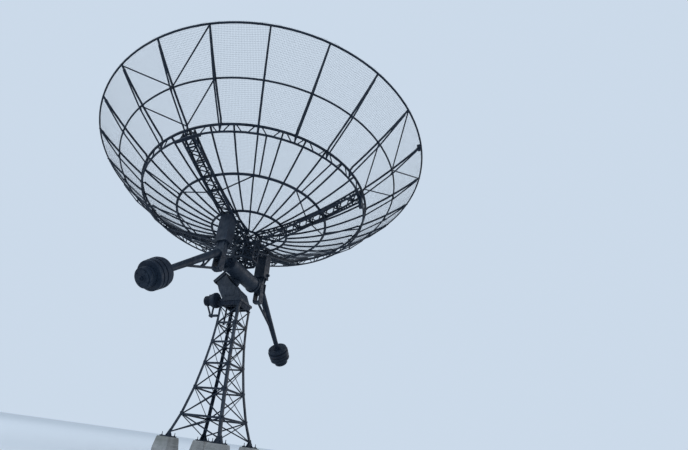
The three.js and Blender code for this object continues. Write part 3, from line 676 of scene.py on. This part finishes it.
def outer_frame(quarter):
    """Ribs with their lower chords, the middle ring, the rim and the braces of one outer quarter."""
    form = Form()
    start = quarter * 90
    quarter_ring(form, MIDDLE_RING, MIDDLE_DROP, round_profile(MIDDLE_TUBE, 12), start)
    quarter_ring(form, RIM_RING, RIM_DROP, round_profile(RIM_TUBE, 16), start)
    for degrees in range(start, start + 90, OUTER_BAY):
        foot = on_frame(TRUSS_UPPER_RING, degrees, TRUSS_UPPER_DROP - 0.02)
        path = [foot, *rib_path(degrees, TRUSS_RING + 0.05, RIM_RING, OUTER_RIB_DROP)]
        sweep(form, path, box_profile(*OUTER_RIB_SECTION))
        outer_chord(form, degrees)
    for beam in (start, start + 90):
        beside = beam + (OUTER_BAY if beam == start else -OUTER_BAY)
        rim_end = on_frame(RIM_RING, beside, STRUT_DROP)
        middle_end = on_frame(MIDDLE_RING, beside, MIDDLE_DROP)
        tube(form, rim_end, on_frame(MIDDLE_RING, beam, STRUT_DROP), BRACE_TUBE)
        tube(form, middle_end, on_frame(BRACE_END, beam, STRUT_DROP), BRACE_TUBE)
    return form


def outer_chord(form, degrees):
    """The lower chord of an outer rib, with its knee, its post and gusset plates."""
    knee = on_frame(MIDDLE_RING, degrees, KNEE_DROP)
    end = on_frame(CHORD_END, degrees, CHORD_END_DROP)
    rib = on_frame(MIDDLE_RING, degrees, OUTER_RIB_DROP)
    rim = on_frame(RIM_RING, degrees, OUTER_RIB_DROP)
    out = around(1, degrees, 0)
    rise = Z * 0.035
    sweep(form, [truss_lower(degrees), knee, end], round_profile(STRUT_TUBE))
    tube(form, knee, rib, STOOL_TUBE)
    plate(form, [knee - out * 0.07 - rise, knee + out * 0.07 + rise, knee + rise * 2], GUSSET)
    plate(form, [rim - out * 0.17 - rise * 3, rim - out * 0.02 - rise, rim - out * 0.1 - rise], GUSSET)


def beam_braces(form, beam):
    """Braces in the frame's plane beside one main beam."""
    for side in (-1, 1):
        ring_node = on_frame(SECOND_RING, beam + side * STRUT_BAY, RING_DROP + 0.02)
        end = on_frame(LONG_BRACE_END, beam + side * LONG_BRACE_ANGLE, BEAM_TOP_DROP)
        sweep(form, [ring_node, end], round_profile(LONG_BRACE_TUBE))


def backing_frame():
    for quarter in range(4):
        label = quarter + 1
        inner = inner_frame(quarter)
        beam_braces(inner, quarter * 90)
        steel_piece(f"frame_inner_{label}", inner, "dish", f"inner_frame_{label}")
        steel_piece(f"frame_outer_{label}", outer_frame(quarter), "dish", f"outer_frame_{label}")


def rim_bracket():
    """A small bracket under the rim over the beam that points to +X."""
    form = Form()
    place = on_frame(RIM_RING, 0, RIM_DROP) - X * 0.05
    slab(form, place + Vector((-0.04, -0.05, -0.1)), place + Vector((0.04, 0.05, 0.01)))
    turn_outline(form, place - Z * 0.1, -Z, [(0, 0.032), (0.05, 0.032), (0.06, 0.022)], 16)
    for side in (-1, 1):
        bolt(form, place + Vector((0.04, side * 0.035, -0.06)), X, 0.008)
    steel_piece("rim_bracket", form, "dish", bevel=0.003)


# Main beams and hub


def beam_upper(x, side):
    return Vector((x, side * BEAM_HALF, surface_height(x) - BEAM_TOP_DROP))


def beam_low_height(x):
    return BEAM_LOW_START + (x - BEAM_START) * BEAM_LOW_SLOPE


def beam_lower(x, side):
    return Vector((x, side * BEAM_HALF, beam_low_height(x)))


def lace(form, first, second, radius=LACE_RADIUS):
    """Lacing that goes back and forth between two rows of nodes."""
    for i in range(len(first) - 1):
        one, other = (first, second) if i % 2 == 0 else (second, first)
        tube(form, one[i], other[i + 1], radius, 8)


def main_beam():
    """A main beam along +X, before it is turned to its side."""
    form = Form()
    chord = box_profile(BEAM_CHORD, BEAM_CHORD, 0.006)
    begin = (HUB_RADIUS + HUB_RING / 2) * math.cos(math.pi / HUB_SIDES)
    places = stations(begin, BEAM_LOWER_END, LACE_PITCH)
    upper = {side: [beam_upper(x, side) for x in places] for side in (-1, 1)}
    lower = {side: [beam_lower(x, side) for x in places] for side in (-1, 1)}
    for side in (-1, 1):
        sweep(form, [*upper[side], beam_upper(BEAM_UPPER_END, side)], chord)
        sweep(form, lower[side], chord)
        lace(form, lower[side], upper[side], SIDE_LACE_RADIUS)
    lace(form, lower[-1], lower[1])
    lace(form, upper[1], upper[-1])
    for i in range(0, len(places), 2):
        square_bar(form, lower[-1][i], lower[1][i], BATTEN)
        square_bar(form, upper[-1][i], upper[1][i], BATTEN)
        for side in (-1, 1):
            tube(form, lower[side][i], upper[side][i], SIDE_LACE_RADIUS, 8)
    beam_end(form)
    return form


def beam_end(form):
    """The cross bar that ties a beam's end to the ring truss, with its gusset plates."""
    middle = Vector((BEAM_LOWER_END + 0.01, 0, beam_low_height(BEAM_LOWER_END)))
    half = Y * CROSS_BAR_HALF
    square_bar(form, middle - half, middle + half, CROSS_BAR, 0.006)
    top = Z * (surface_height(middle.x) - BEAM_TOP_DROP - middle.z)
    square_bar(form, middle + top - Y * BEAM_HALF, middle + top + Y * BEAM_HALF, BATTEN)
    for side in (-1, 1):
        corner = middle + X * 0.02 + Y * side * BEAM_HALF
        plate(form, [corner - Y * 0.08 - Z * 0.03, corner + Y * 0.08 - Z * 0.03, corner + top], 0.01)
        for lift in (0.0, 0.05):
            bolt(form, corner + X * 0.005 + Z * lift, X, 0.009)


def end_post(form):
    """A box that hangs under the end of the beam that points to +X, with a lid and two straps."""
    x = BEAM_LOWER_END + 0.05
    top = surface_height(x) - BEAM_TOP_DROP
    bottom = HANGING_BOX_BOTTOM
    slab(form, (x - 0.035, -0.06, bottom), (x + 0.035, 0.06, top))
    slab(form, (x - 0.042, -0.068, bottom - 0.012), (x + 0.042, 0.068, bottom + 0.012))
    for height in (bottom + 0.12, top - 0.12):
        slab(form, (x - 0.042, -0.067, height), (x + 0.042, 0.067, height + 0.03))
        bolt(form, Vector((x + 0.042, 0, height + 0.015)), X, 0.009)


def main_beams():
    shape = main_beam()
    for i, name in enumerate(("polar_side", "left", "back", "right")):
        form = turned(shape, 90 * i)
        if i == 0:
            end_post(form)
        steel_piece(f"beam_lattice_{name}", form, "dish", f"beam_{name}")


def hub_corner(i, height, radius=HUB_RADIUS):
    return around(radius, (i + 0.5) * 360 / HUB_SIDES, height)


def hub_drum():
    """The lattice drum: rings, eight posts, crossed lacing, spokes and a middle tube."""
    form = Form()
    top = surface_height(HUB_RADIUS) - HUB_TOP_DROP
    levels = [HUB_BOTTOM, HUB_LOW, HUB_MIDDLE, top]
    for height in levels:
        size = BATTEN if height == HUB_LOW else HUB_RING
        corners = [hub_corner(i, height) for i in range(HUB_SIDES)]
        sweep(form, corners, box_profile(size, size, 0.005), Z, True)
    post = box_profile(HUB_POST, HUB_POST, 0.005)
    for i in range(HUB_SIDES):
        sweep(form, [hub_corner(i, HUB_BOTTOM), hub_corner(i, top)], post, X)
        for low, high in zip(levels, levels[1:]):
            tube(form, hub_corner(i, low), hub_corner(i + 1, high), HUB_LACE, 8)
            tube(form, hub_corner(i + 1, low), hub_corner(i, high), HUB_LACE, 8)
        for height in levels:
            tube(form, hub_corner(i, height), Z * height, HUB_SPOKE, 8)
            bolt(form, hub_corner(i, height, HUB_RADIUS + HUB_RING / 2), hub_corner(i, 0), 0.011)
    middle_tube = [(0, HUB_TUBE), (top - HUB_BOTTOM, HUB_TUBE)]
    turn_outline(form, Z * (HUB_BOTTOM - 0.02), Z, middle_tube, 20)
    steel_piece("hub_lattice", form, "dish", "hub_drum")


# Mount


def column():
    """The smooth box column on the +Y side, with a band at its foot, its fork and its bearing."""
    form = Form()
    outline = [(y, beam_low_height(y) - BEAM_CHORD / 2) for y in (COLUMN_FAR, COLUMN_NEAR)]
    outline = [(COLUMN_NEAR, COLUMN_FOOT), (COLUMN_FAR, COLUMN_FOOT), *outline]
    plate(form, [Vector((0, y, z)) for y, z in outline], 2 * COLUMN_HALF)
    rim = 0.008
    slab(form, (-COLUMN_HALF - rim, COLUMN_NEAR - rim, COLUMN_FOOT - 0.004),
         (COLUMN_HALF + rim, COLUMN_FAR + rim, COLUMN_FOOT + 0.016))
    for side in (-1, 1):
        fork_prong(form, side)
    slab(form, (-PRONG_MIDDLE, PRONG_NEAR + 0.01, PRONG_BOTTOM + 0.005),
         (PRONG_MIDDLE, PRONG_FAR - 0.01, PRONG_BOTTOM + 0.06))
    bearing_block(form)
    return form


def fork_prong(form, side):
    """One of the two plates of a column's fork, with its gussets and the bearing's bolts."""
    x = side * PRONG_MIDDLE
    face = side * (PRONG_MIDDLE + PRONG_THICKNESS / 2)
    near, far, low, top, cut = PRONG_NEAR, PRONG_FAR, PRONG_BOTTOM, COLUMN_FOOT + 0.02, 0.04
    prong = [(near + cut, low), (far - cut, low), (far, low + cut), (far, top), (near, top),
             (near, low + cut)]
    plate(form, [Vector((x, y, z)) for y, z in prong], PRONG_THICKNESS)
    for y in (near + 0.03, far - 0.03):
        outer = side * (COLUMN_HALF - 0.01)
        plate_xz(form, [(outer, COLUMN_FOOT), (face, COLUMN_FOOT), (face, COLUMN_FOOT - 0.16)], 0.012, y)
    for z in (low + 0.08, COLUMN_FOOT - 0.2):
        for y in (near + 0.05, far - 0.05):
            bolt(form, Vector((face, y, z)), X * side, 0.012)
    bolt_circle(form, Vector((face, (near + far) / 2, AXIS_HEIGHT)), X * side, 0.062, 6, 0.009)


def bearing_block(form):
    """The blocks between the prongs, with a round bearing cover towards the tube."""
    for low, high in ((AXIS_HEIGHT + 0.08, COLUMN_FOOT + 0.01), (AXIS_HEIGHT - 0.12, AXIS_HEIGHT - 0.08)):
        slab(form, (-PRONG_MIDDLE, PRONG_NEAR + 0.01, low), (PRONG_MIDDLE, PRONG_FAR - 0.01, high))
    bore, outer, neck = STUB_RADIUS + 0.004, 0.105, 0.1
    cover = [(0, bore), (0, outer), (0.035, outer), (0.04, neck), (0.16, neck), (0.16, bore)]
    face = Vector((0, PRONG_NEAR - 0.03, AXIS_HEIGHT))
    turn_outline(form, face, Y, cover)
    bolt_circle(form, face, -Y, 0.088, 8, 0.008)


def lock_knob():
    """A small knob on the +X face of the far column."""
    form = Form()
    place = Vector((COLUMN_HALF - 0.002, COLUMN_FAR - 0.06, 4.52))
    outline = [(0, 0.05), (0.014, 0.05), (0.018, 0.036), (0.05, 0.036), (0.058, 0.028)]
    turn_outline(form, place, X, outline, 16)
    dark_piece("lock_knob", form, "dish")


def counterweight_arm():
    """The tapered arm on the +Y side, its strut and the ties between them."""
    form = Form()
    along = ARM_DIRECTION
    length = (WEIGHT_CENTRE - ARM_ROOT).length - WEIGHT_HALF
    collar = length - ARM_COLLAR
    outline = [(0.05, ARM_ROOT_RADIUS), (collar, ARM_TIP_RADIUS), (collar, ARM_COLLAR_RADIUS),
               (length, ARM_COLLAR_RADIUS)]
    turn_outline(form, ARM_ROOT, along, outline, 28)
    bolt_circle(form, ARM_ROOT + along * collar, -along, 0.084, 8, 0.008)
    front = PRONG_FAR + ARM_PLATE
    slab(form, (-ARM_PLATE_HALF, PRONG_FAR, ARM_PLATE_BOTTOM), (ARM_PLATE_HALF, front, ARM_PLATE_TOP))
    for x in (-0.11, 0.11):
        for z in stations(ARM_PLATE_BOTTOM + 0.02, ARM_PLATE_TOP - 0.02, 0.08):
            bolt(form, Vector((x, front, z)), Y, 0.009)
    low_root = Vector((0, PRONG_FAR - 0.02, PRONG_BOTTOM + 0.025))
    meeting = ARM_ROOT + along * length * ARM_STRUT_MEETS
    foot = low_root.lerp(meeting, ARM_TIE_FOOT)
    square_bar(form, low_root, meeting, ARM_STRUT, 0.006)
    for share in ARM_TIES_MEET:
        square_bar(form, foot, ARM_ROOT + along * length * share, ARM_TIE, 0.005)
    strut = (meeting - low_root).normalized()
    face = foot + X * ARM_STRUT / 2
    plate(form, [face - strut * 0.1, face + strut * 0.1, face + Z * 0.1], 0.006)
    return form


def counterweight():
    """A stack of steel discs of slightly different sizes, then a smaller stack, a washer and a nut."""
    form = Form()
    along = ARM_DIRECTION
    groove, depth, chamfer = 0.012, 0.034, 0.005
    discs = [(0.07, -0.022), (0.1, 0.0), (0.09, -0.006), (0.07, -0.012)]
    position = -WEIGHT_HALF
    outline = [(position, 0.06)]
    for i, (width, change) in enumerate(discs):
        radius = WEIGHT_RADIUS + change
        end = WEIGHT_HALF if i == len(discs) - 1 else position + width - groove
        outline += [(position, radius - chamfer), (position + chamfer, radius)]
        outline += [(end - chamfer, radius), (end, radius - chamfer), (end, WEIGHT_RADIUS - depth)]
        position = min(position + width, WEIGHT_HALF)
        outline.append((position, WEIGHT_RADIUS - depth))
    for i in range(2):
        start = WEIGHT_HALF + i * CAP_LENGTH / 2
        end = start + CAP_LENGTH / 2 - groove
        outline += [(start, CAP_RADIUS), (end - chamfer, CAP_RADIUS), (end, CAP_RADIUS - chamfer)]
        outline += [(end, CAP_RADIUS - depth), (end + groove, CAP_RADIUS - depth)]
    end = WEIGHT_HALF + CAP_LENGTH
    outline += [(end, 0.075), (end + 0.012, 0.07), (end + 0.012, 0.045)]
    nut = [(0, 0.044), (0.03, 0.044), (0.034, 0.038)]
    stud = [(0, 0.022), (0.028, 0.022), (0.03, 0.018)]
    turn_outline(form, WEIGHT_CENTRE, along, outline, 64)
    turn_outline(form, WEIGHT_CENTRE + along * (end + 0.01), along, nut, 6)
    turn_outline(form, WEIGHT_CENTRE + along * (end + 0.04), along, stud, 20)
    bolt_circle(form, WEIGHT_CENTRE + along * end, along, 0.13, 4, 0.013)
    bolt_circle(form, WEIGHT_CENTRE - along * WEIGHT_HALF, -along, 0.2, 6, 0.013)
    return form


def both_sides():
    for label, degrees in (("left", 0), ("right", 180)):
        box, arm = turned(column(), degrees), turned(counterweight_arm(), degrees)
        weight = turned(counterweight(), degrees)
        steel_piece(f"column_box_{label}", box, "dish", f"column_{label}", bevel=0.003)
        steel_piece(f"arm_{label}", arm, "dish", f"counterweight_arm_{label}")
        dark_piece(f"weight_stack_{label}", weight, "dish", f"counterweight_{label}")


def declination_tube():
    """The tube on the declination axis, with bolted end flanges and bearing stubs."""
    form = Form()
    half, r = TUBE_HALF, TUBE_RADIUS
    edge = r + 0.024
    start = Z * AXIS_HEIGHT
    flange = [(-0.055, r), (-0.055, edge - 0.003), (-0.052, edge), (-0.03, edge), (-0.03, edge - 0.006),
              (-0.026, edge - 0.006), (-0.026, edge), (-0.003, edge), (0, edge - 0.003),
              (0, STUB_RADIUS + 0.03), (0.05, STUB_RADIUS + 0.012), (0.055, STUB_RADIUS)]
    end = [(half + distance, radius) for distance, radius in flange]
    end += [(STUB_END - 0.005, STUB_RADIUS), (STUB_END, STUB_RADIUS - 0.005)]
    outline = [(-distance, radius) for distance, radius in reversed(end)] + end
    turn_outline(form, start, Y, outline, 56)
    for side in (-1, 1):
        base = start + Y * side * half
        bolt_circle(form, base, Y * side, r - 0.01, 16, 0.012)
        for i in range(6):
            angle = math.radians(60 * i)
            out = Vector((math.cos(angle), 0, math.sin(angle)))
            inner = base + out * (STUB_RADIUS + 0.01)
            plate(form, [inner, base + out * 0.165, inner + Y * side * 0.11], 0.01)
    steel_piece("axis_tube", form, "polar", "declination_tube")


def polar_point(distance):
    return Z * AXIS_HEIGHT + POLAR_DIRECTION * distance


def polar_shaft():
    """The neck and bolted flange between the tube and the polar bearing."""
    form = Form()
    rim, groove, weld = FLANGE_RADIUS, FLANGE_RADIUS - 0.006, NECK_RADIUS + 0.006
    start, end, cut = FLANGE_START, FLANGE_END, 0.004
    outline = [(0.1, NECK_RADIUS), (0.185, NECK_RADIUS), (0.19, weld), (0.2, weld), (start, rim - cut),
               (start + cut, rim), (0.234, rim), (0.235, groove), (0.239, groove), (0.24, rim),
               (end - cut, rim), (end, rim - cut), (end, SHAFT_RADIUS), (0.4, SHAFT_RADIUS)]
    turn_outline(form, polar_point(0), -POLAR_DIRECTION, outline, 48)
    steel_piece("polar_neck", form, "polar", "polar_shaft")


def housing_corners():
    middle = polar_point(-HOUSING_FACE)
    low = middle - ACROSS_POLAR * HOUSING_FACE_LOW
    high = middle + ACROSS_POLAR * HOUSING_FACE_HIGH
    return low, high, high - POLAR_DIRECTION * HOUSING_ROOF_LENGTH


def polar_housing():
    """The wedge-shaped housing of the polar bearing, with base flanges, hatches and a bearing ring."""
    form = Form()
    low, high, roof_back = housing_corners()
    outline = [(-0.24, PLATE_TOP), (0.25, PLATE_TOP), (0.13, PLATE_TOP + 0.26), (low.x, low.z),
               (high.x, high.z), (roof_back.x, roof_back.z), (-0.406, PLATE_TOP + 0.25)]
    plate_xz(form, outline, 2 * HOUSING_HALF)
    base = PLATE_TOP + BASE_FLANGE
    for side in (-1, 1):
        hatch(form, side)
        low_y, high_y = sorted((side * (HOUSING_HALF - 0.01), side * (HOUSING_HALF + 0.04)))
        slab(form, (-0.25, low_y, PLATE_TOP), (0.26, high_y, base))
        for x in (-0.2, -0.05, 0.1, 0.22):
            bolt(form, Vector((x, side * (HOUSING_HALF + 0.02), base)), Z, 0.01)
    ring = [(0, 0.1), (0, 0.155), (0.006, 0.15), (0.006, 0.1)]
    turn_outline(form, polar_point(-HOUSING_FACE), POLAR_DIRECTION, ring, 40)
    steel_piece("bearing_housing", form, "tower", "polar_housing", bevel=0.003)


def hatch(form, side):
    """A bolted hatch in one side of the housing."""
    middle = Vector((HATCH_X, side * HOUSING_HALF, HATCH_HEIGHT))
    half = Vector((HATCH_HALF_LENGTH, 0.004, HATCH_HALF_HEIGHT))
    slab(form, middle - half, middle + half)
    reach, rise = half.x - HATCH_BOLT_INSET, half.z - HATCH_BOLT_INSET
    for x in (-reach, 0, reach):
        for z in (-rise, rise):
            bolt(form, middle + Vector((x, side * 0.003, z)), Y * side, 0.007)


def housing_roof():
    """The thick overhanging roof, with a deep lip along its sides and its back."""
    form = Form()
    high, roof_back = housing_corners()[1:]
    up, across = POLAR_DIRECTION, ACROSS_POLAR
    front, back = high + up * 0.01, roof_back - up * 0.07
    half = HOUSING_HALF + 0.02
    deep, lip = across * 0.05, 0.01
    thick, lap = across * 0.045, across * 0.02
    side = [back - deep, front - deep, front + lap, back + lap]
    hood = [
        ([back, front, front + thick, back + thick], 2 * half, 0),
        (side, lip, lip / 2 - half),
        (side, lip, half - lip / 2),
        ([back - deep, back - deep + up * lip, back + up * lip, back], 2 * half, 0),
    ]
    for corners, thickness, y in hood:
        plate_xz(form, [(corner.x, corner.z) for corner in corners], thickness, y)
    steel_piece("roof_hood", form, "tower", "housing_roof", bevel=0.004)


def on_four_sides(form, side):
    """Adds the form of the +X side to all four sides."""
    for turn in range(4):
        copy = turned(side, 90 * turn)
        form.add(copy.points, copy.faces)


def tower_head():
    """The platform over the legs: a plate with a downturned edge, a sloping skirt, beams and two pipes."""
    form = Form()
    slab(form, (-PLATE_HALF, -PLATE_HALF, PLATE_BOTTOM), (PLATE_HALF, PLATE_HALF, PLATE_TOP))
    edge = Form()
    slab(edge, (PLATE_HALF - 0.01, -PLATE_HALF, PLATE_BOTTOM - 0.03), (PLATE_HALF, PLATE_HALF, PLATE_BOTTOM))
    on_four_sides(form, edge)
    steel_piece("platform_plate", form, "tower", "head_plate", bevel=0.002)
    skirt = Form()
    on_four_sides(skirt, skirt_side())
    for y in (-HEAD_BEAM_Y, HEAD_BEAM_Y):
        ends = [Vector((x, y, HEAD_BEAM_HEIGHT)) for x in (-HEAD_BEAM_HALF, HEAD_BEAM_HALF)]
        sweep(skirt, ends, box_profile(0.05, 0.07, 0.004))
    for x, y, radius in ((-0.2, -0.05, 0.021), (-0.1, -0.02, 0.016)):
        socket = radius + 0.008
        pipe = [(0, radius), (PIPE_LENGTH, radius), (PIPE_LENGTH, socket), (PIPE_LENGTH + 0.04, socket),
                (PIPE_LENGTH + 0.05, radius)]
        turn_outline(skirt, Vector((x, y, HEAD_BEAM_HEIGHT)), -Z, pipe, 16)
    # The skirt's darker paint is painted shade under the platform.
    dark_piece("platform_skirt", skirt, "tower", "head_frame")


def skirt_side():
    """The sloping +X side of the skirt under the platform, with its ribs and a lower flange."""
    side = Form()
    low, high = HEAD_BOTTOM, PLATE_BOTTOM - 0.005
    bottom = [Vector((SKIRT_LOW_HALF, end * SKIRT_LOW_HALF, low)) for end in (-1, 1)]
    top = [Vector((SKIRT_HIGH_HALF, end * SKIRT_HIGH_HALF, high)) for end in (1, -1)]
    plate(side, bottom + top, 0.01)
    slab(side, (0.2, -SKIRT_LOW_HALF, low), (0.25, SKIRT_LOW_HALF, low + 0.012))
    for y in (-HEAD_BEAM_Y, 0, HEAD_BEAM_Y):
        plate_xz(side, [(0.258, low), (0.285, high), (0.262, high), (0.245, low)], 0.008, y)
    return side


def drive_unit():
    """A gear case with a bolted cover and a finned motor, on a shelf and two struts at one leg."""
    form = Form()
    centre = Vector((0, DRIVE_Y, DRIVE_HEIGHT))
    near, cover, far = GEAR_NEAR, GEAR_NEAR + 0.06, GEAR_FAR
    edge, outer, groove = GEAR_RADIUS - 0.02, MOTOR_RADIUS, MOTOR_RADIUS - 0.014
    case = [(near, 0.08), (near, edge), (near + 0.015, GEAR_RADIUS), (cover, GEAR_RADIUS), (cover, edge),
            (far - 0.03, edge), (far - 0.015, edge - 0.01), (far, outer)]
    turn_outline(form, centre, -X, case, 40)
    bolt_circle(form, centre - X * cover, -X, GEAR_RADIUS - 0.01, 10, 0.008)
    motor = [(far - 0.01, 0.1), (far, outer)]
    position = far + 0.01
    while position < MOTOR_FAR - 0.05:
        end = position + 0.008
        motor += [(position, outer), (position, groove), (end, groove), (end, outer)]
        position += 0.018
    motor += [(MOTOR_FAR - 0.02, outer), (MOTOR_FAR - 0.008, outer - 0.012), (MOTOR_FAR, 0.08)]
    turn_outline(form, centre, -X, motor, 40)
    slab(form, (-0.6, DRIVE_Y - 0.04, DRIVE_HEIGHT + 0.1), (-0.53, DRIVE_Y + 0.04, DRIVE_HEIGHT + 0.145))
    slab(form, SEAT_LOW, SEAT_HIGH)
    drive_shelf(form)
    dark_piece("drive_motor", form, "tower", "drive_unit")


def drive_shelf(form):
    """The shelf at the leg and the two struts that carry the gear case and the motor."""
    slab(form, SHELF_LOW, SHELF_HIGH)
    for foot, head, height in ((0.472, 0.62, 3.16), (0.44, 0.44, 3.1)):
        start = Vector((-foot, DRIVE_STRUT_Y, SHELF_HEIGHT - 0.02))
        end = Vector((-head, DRIVE_STRUT_Y, height))
        square_bar(form, start, end, DRIVE_STRUT, 0.005, X if head == foot else Y)
    turn_outline(form, Vector((-0.462, -0.295, SHELF_HEIGHT - 0.02)), Y, [(0, 0.036), (0.085, 0.036)], 20)


# Tower


def leg_section():
    """An angle section whose heel points outwards from the tower's axis."""
    heel, inner, toe = LEG_HEEL, LEG_HEEL - LEG_THICKNESS, LEG_HEEL - LEG_SIZE
    return [(heel, heel), (toe, heel), (toe, inner), (inner, inner), (inner, toe), (heel, toe)]


def tower_leg():
    """One angle leg on the +X +Y corner, with its foot plate, stiffeners and anchor bolts."""
    form = Form()
    path = [Vector((half, half, height)) for height, half in TOWER_LEVELS]
    sweep(form, path, leg_section(), Y)
    foot, half = FOOT_HALF, FOOT_PLATE_HALF
    base = FOOTING_HEIGHT + 0.02
    slab(form, (foot - half, foot - half, FOOTING_HEIGHT), (foot + half, foot + half, base))
    corner = Vector((foot, foot, base))
    for out, across in ((X, Y), (Y, X)):
        for end in (-0.105, 0.06):
            heel = corner + across * 0.022
            plate(form, [heel + out * end, heel - out * 0.02, heel - out * 0.03 + Z * 0.12], 0.008)
    for x, y in SQUARE:
        place = corner + (X * x + Y * y) * ANCHOR_REACH
        bolt(form, place, Z, 0.014)
        turn_outline(form, place + Z * 0.01, Z, [(0, 0.007), (0.045, 0.007)], 10)
    slab(form, (PAD_NEAR, PAD_NEAR, PAD_BOTTOM), (PAD_FAR, PAD_FAR, HEAD_BOTTOM))
    return form


def tower_side():
    """The bracing of the +X side: crossed angles, level bars and gusset plates."""
    form = Form()
    last = len(TOWER_LEVELS) - 1
    for i in range(1, last + 1):
        low_height, low = TOWER_LEVELS[i - 1]
        high_height, high = TOWER_LEVELS[i]
        low_height += 0.06 if i == 1 else 0.0
        high_height -= 0.03 if i == last else 0.0
        crossed_angles(form, low, low_height, high, high_height)
        if i < last:
            level_bar(form, high, high_height)
            for side in (-1, 1):
                level_gusset(form, high, high_height, side)
    return form


def crossed_angles(form, low, low_height, high, high_height):
    profile = [(-0.011, -0.003), (0.011, -0.003), (0.011, 0.002), (-0.006, 0.002), (-0.006, -0.018),
               (-0.011, -0.018)]
    for side, set_in in ((-1, 0.0), (1, 0.012)):
        start = Vector((low + 0.022 - set_in, side * low, low_height))
        end = Vector((high + 0.022 - set_in, -side * high, high_height))
        sweep(form, [start, end], profile, X)
    share = low / (low + high)
    crossing = Vector((low + 0.02, 0, low_height)).lerp(Vector((high + 0.02, 0, high_height)), share)
    bolt(form, crossing, X, 0.009)


def level_bar(form, half, height):
    """The horizontal angle between two legs."""
    bar = [(-0.018, 0.004), (0.018, 0.004), (0.018, 0.0), (-0.013, 0.0), (-0.013, -0.034), (-0.018, -0.034)]
    sweep(form, [Vector((half + 0.028, -half, height)), Vector((half + 0.028, half, height))], bar, X)


def level_gusset(form, half, height, side):
    """The small plate where a level bar and the crossed angles meet a leg."""
    middle = Vector((half + 0.034, side * (half - 0.01), height))
    outline = ((0.035, -0.045), (0.035, 0.045), (-0.055, 0.02), (-0.055, -0.02))
    points = [middle + Y * side * across + Z * lift for across, lift in outline]
    plate(form, points if side < 0 else points[::-1], 0.006)
    for across, lift in ((0.018, 0.025), (0.018, -0.025), (-0.035, 0.0)):
        bolt(form, middle + X * 0.003 + Y * side * across + Z * lift, X, 0.006)


def footing():
    """A tapered concrete block with worn edges, one of four under the legs."""
    form = Form()
    low, top = FOOTING_BOTTOM / 2, FOOTING_TOP / 2
    rings = [(low, 0.0), (low - 0.004, 0.03), (top + 0.03, 0.18), (top + 0.008, 0.33), (top, FOOTING_HEIGHT)]
    points = [Vector((x * half, y * half, height)) for half, height in rings for x, y in SQUARE]
    skin(form, points, len(SQUARE))
    return form


def tower():
    leg, side, block = tower_leg(), tower_side(), footing()
    for i in range(4):
        label = i + 1
        steel_piece(f"leg_{label}", turned(leg, 90 * i), "tower", f"tower_leg_{label}")
        steel_piece(f"bracing_{label}", turned(side, 90 * i), "tower", f"tower_bracing_{label}")
        place = around(FOOT_HALF * math.sqrt(2), 45 + 90 * i, 0)
        finished(f"concrete_block_{label}", block.moved(Matrix.Translation(place)), CONCRETE, "tower",
                 [f"footing_{label}"], bevel=0.012)


# Scene


def studio():
    """A plain pale floor, a pale background and large soft lights."""
    floor = bpy.data.meshes.new("floor")
    reach = 400
    corners = [(x * reach, y * reach, 0) for x, y in SQUARE]
    floor.from_pydata(corners, [], [(0, 1, 2, 3)])
    finish = Finish("floor", 0.9, 0.0)
    finish.fill(finish.shader, {"Base Color": (0.7, 0.73, 0.76, 1)})
    floor.materials.append(finish.material)
    piece = new_object("floor", floor)
    world = bpy.data.worlds.new("studio")
    bpy.context.scene.world = world
    world.use_nodes = True
    background = world.node_tree.nodes["Background"]
    background.inputs["Color"].default_value = (0.6, 0.7, 0.82, 1)
    background.inputs["Strength"].default_value = 1.0
    soft_light("key", Vector((-20, -20, 22)), 16, 3600, (0.8, 0.9, 1.0))
    soft_light("low_fill", Vector((20, -25, 7)), 14, 500, (0.9, 0.95, 1.0))
    soft_light("rim", Vector((18, 25, 14)), 16, 1600, (1.0, 0.9, 0.8))
    bpy.context.scene.view_settings.view_transform = "Standard"


def soft_light(name, place, size, power, colour):
    lamp = bpy.data.lights.new(name, "AREA")
    lamp.shape = "DISK"
    lamp.size = size
    lamp.energy = power
    lamp.color = colour
    holder = new_object(name, lamp)
    holder.location = place
    holder.rotation_euler = (Vector((0, 0, 4)) - place).to_track_quat("-Z", "Y").to_euler()


def camera():
    data = bpy.data.cameras.new("camera")
    data.lens = 18.27
    data.sensor_width = 36
    data.shift_x = 0.0988
    data.shift_y = 0.0221
    data.clip_end = 1000
    holder = new_object("camera", data)
    holder.location = (4.525, -6.704, 0.4)
    holder.rotation_euler = [math.radians(turn) for turn in (120.98, -6.81, 24.66)]
    bpy.context.scene.camera = holder


camera()
wire_mesh()
backing_frame()
rim_bracket()
main_beams()
hub_drum()
both_sides()
lock_knob()
declination_tube()
polar_shaft()
polar_housing()
housing_roof()
tower_head()
drive_unit()
tower()
studio()
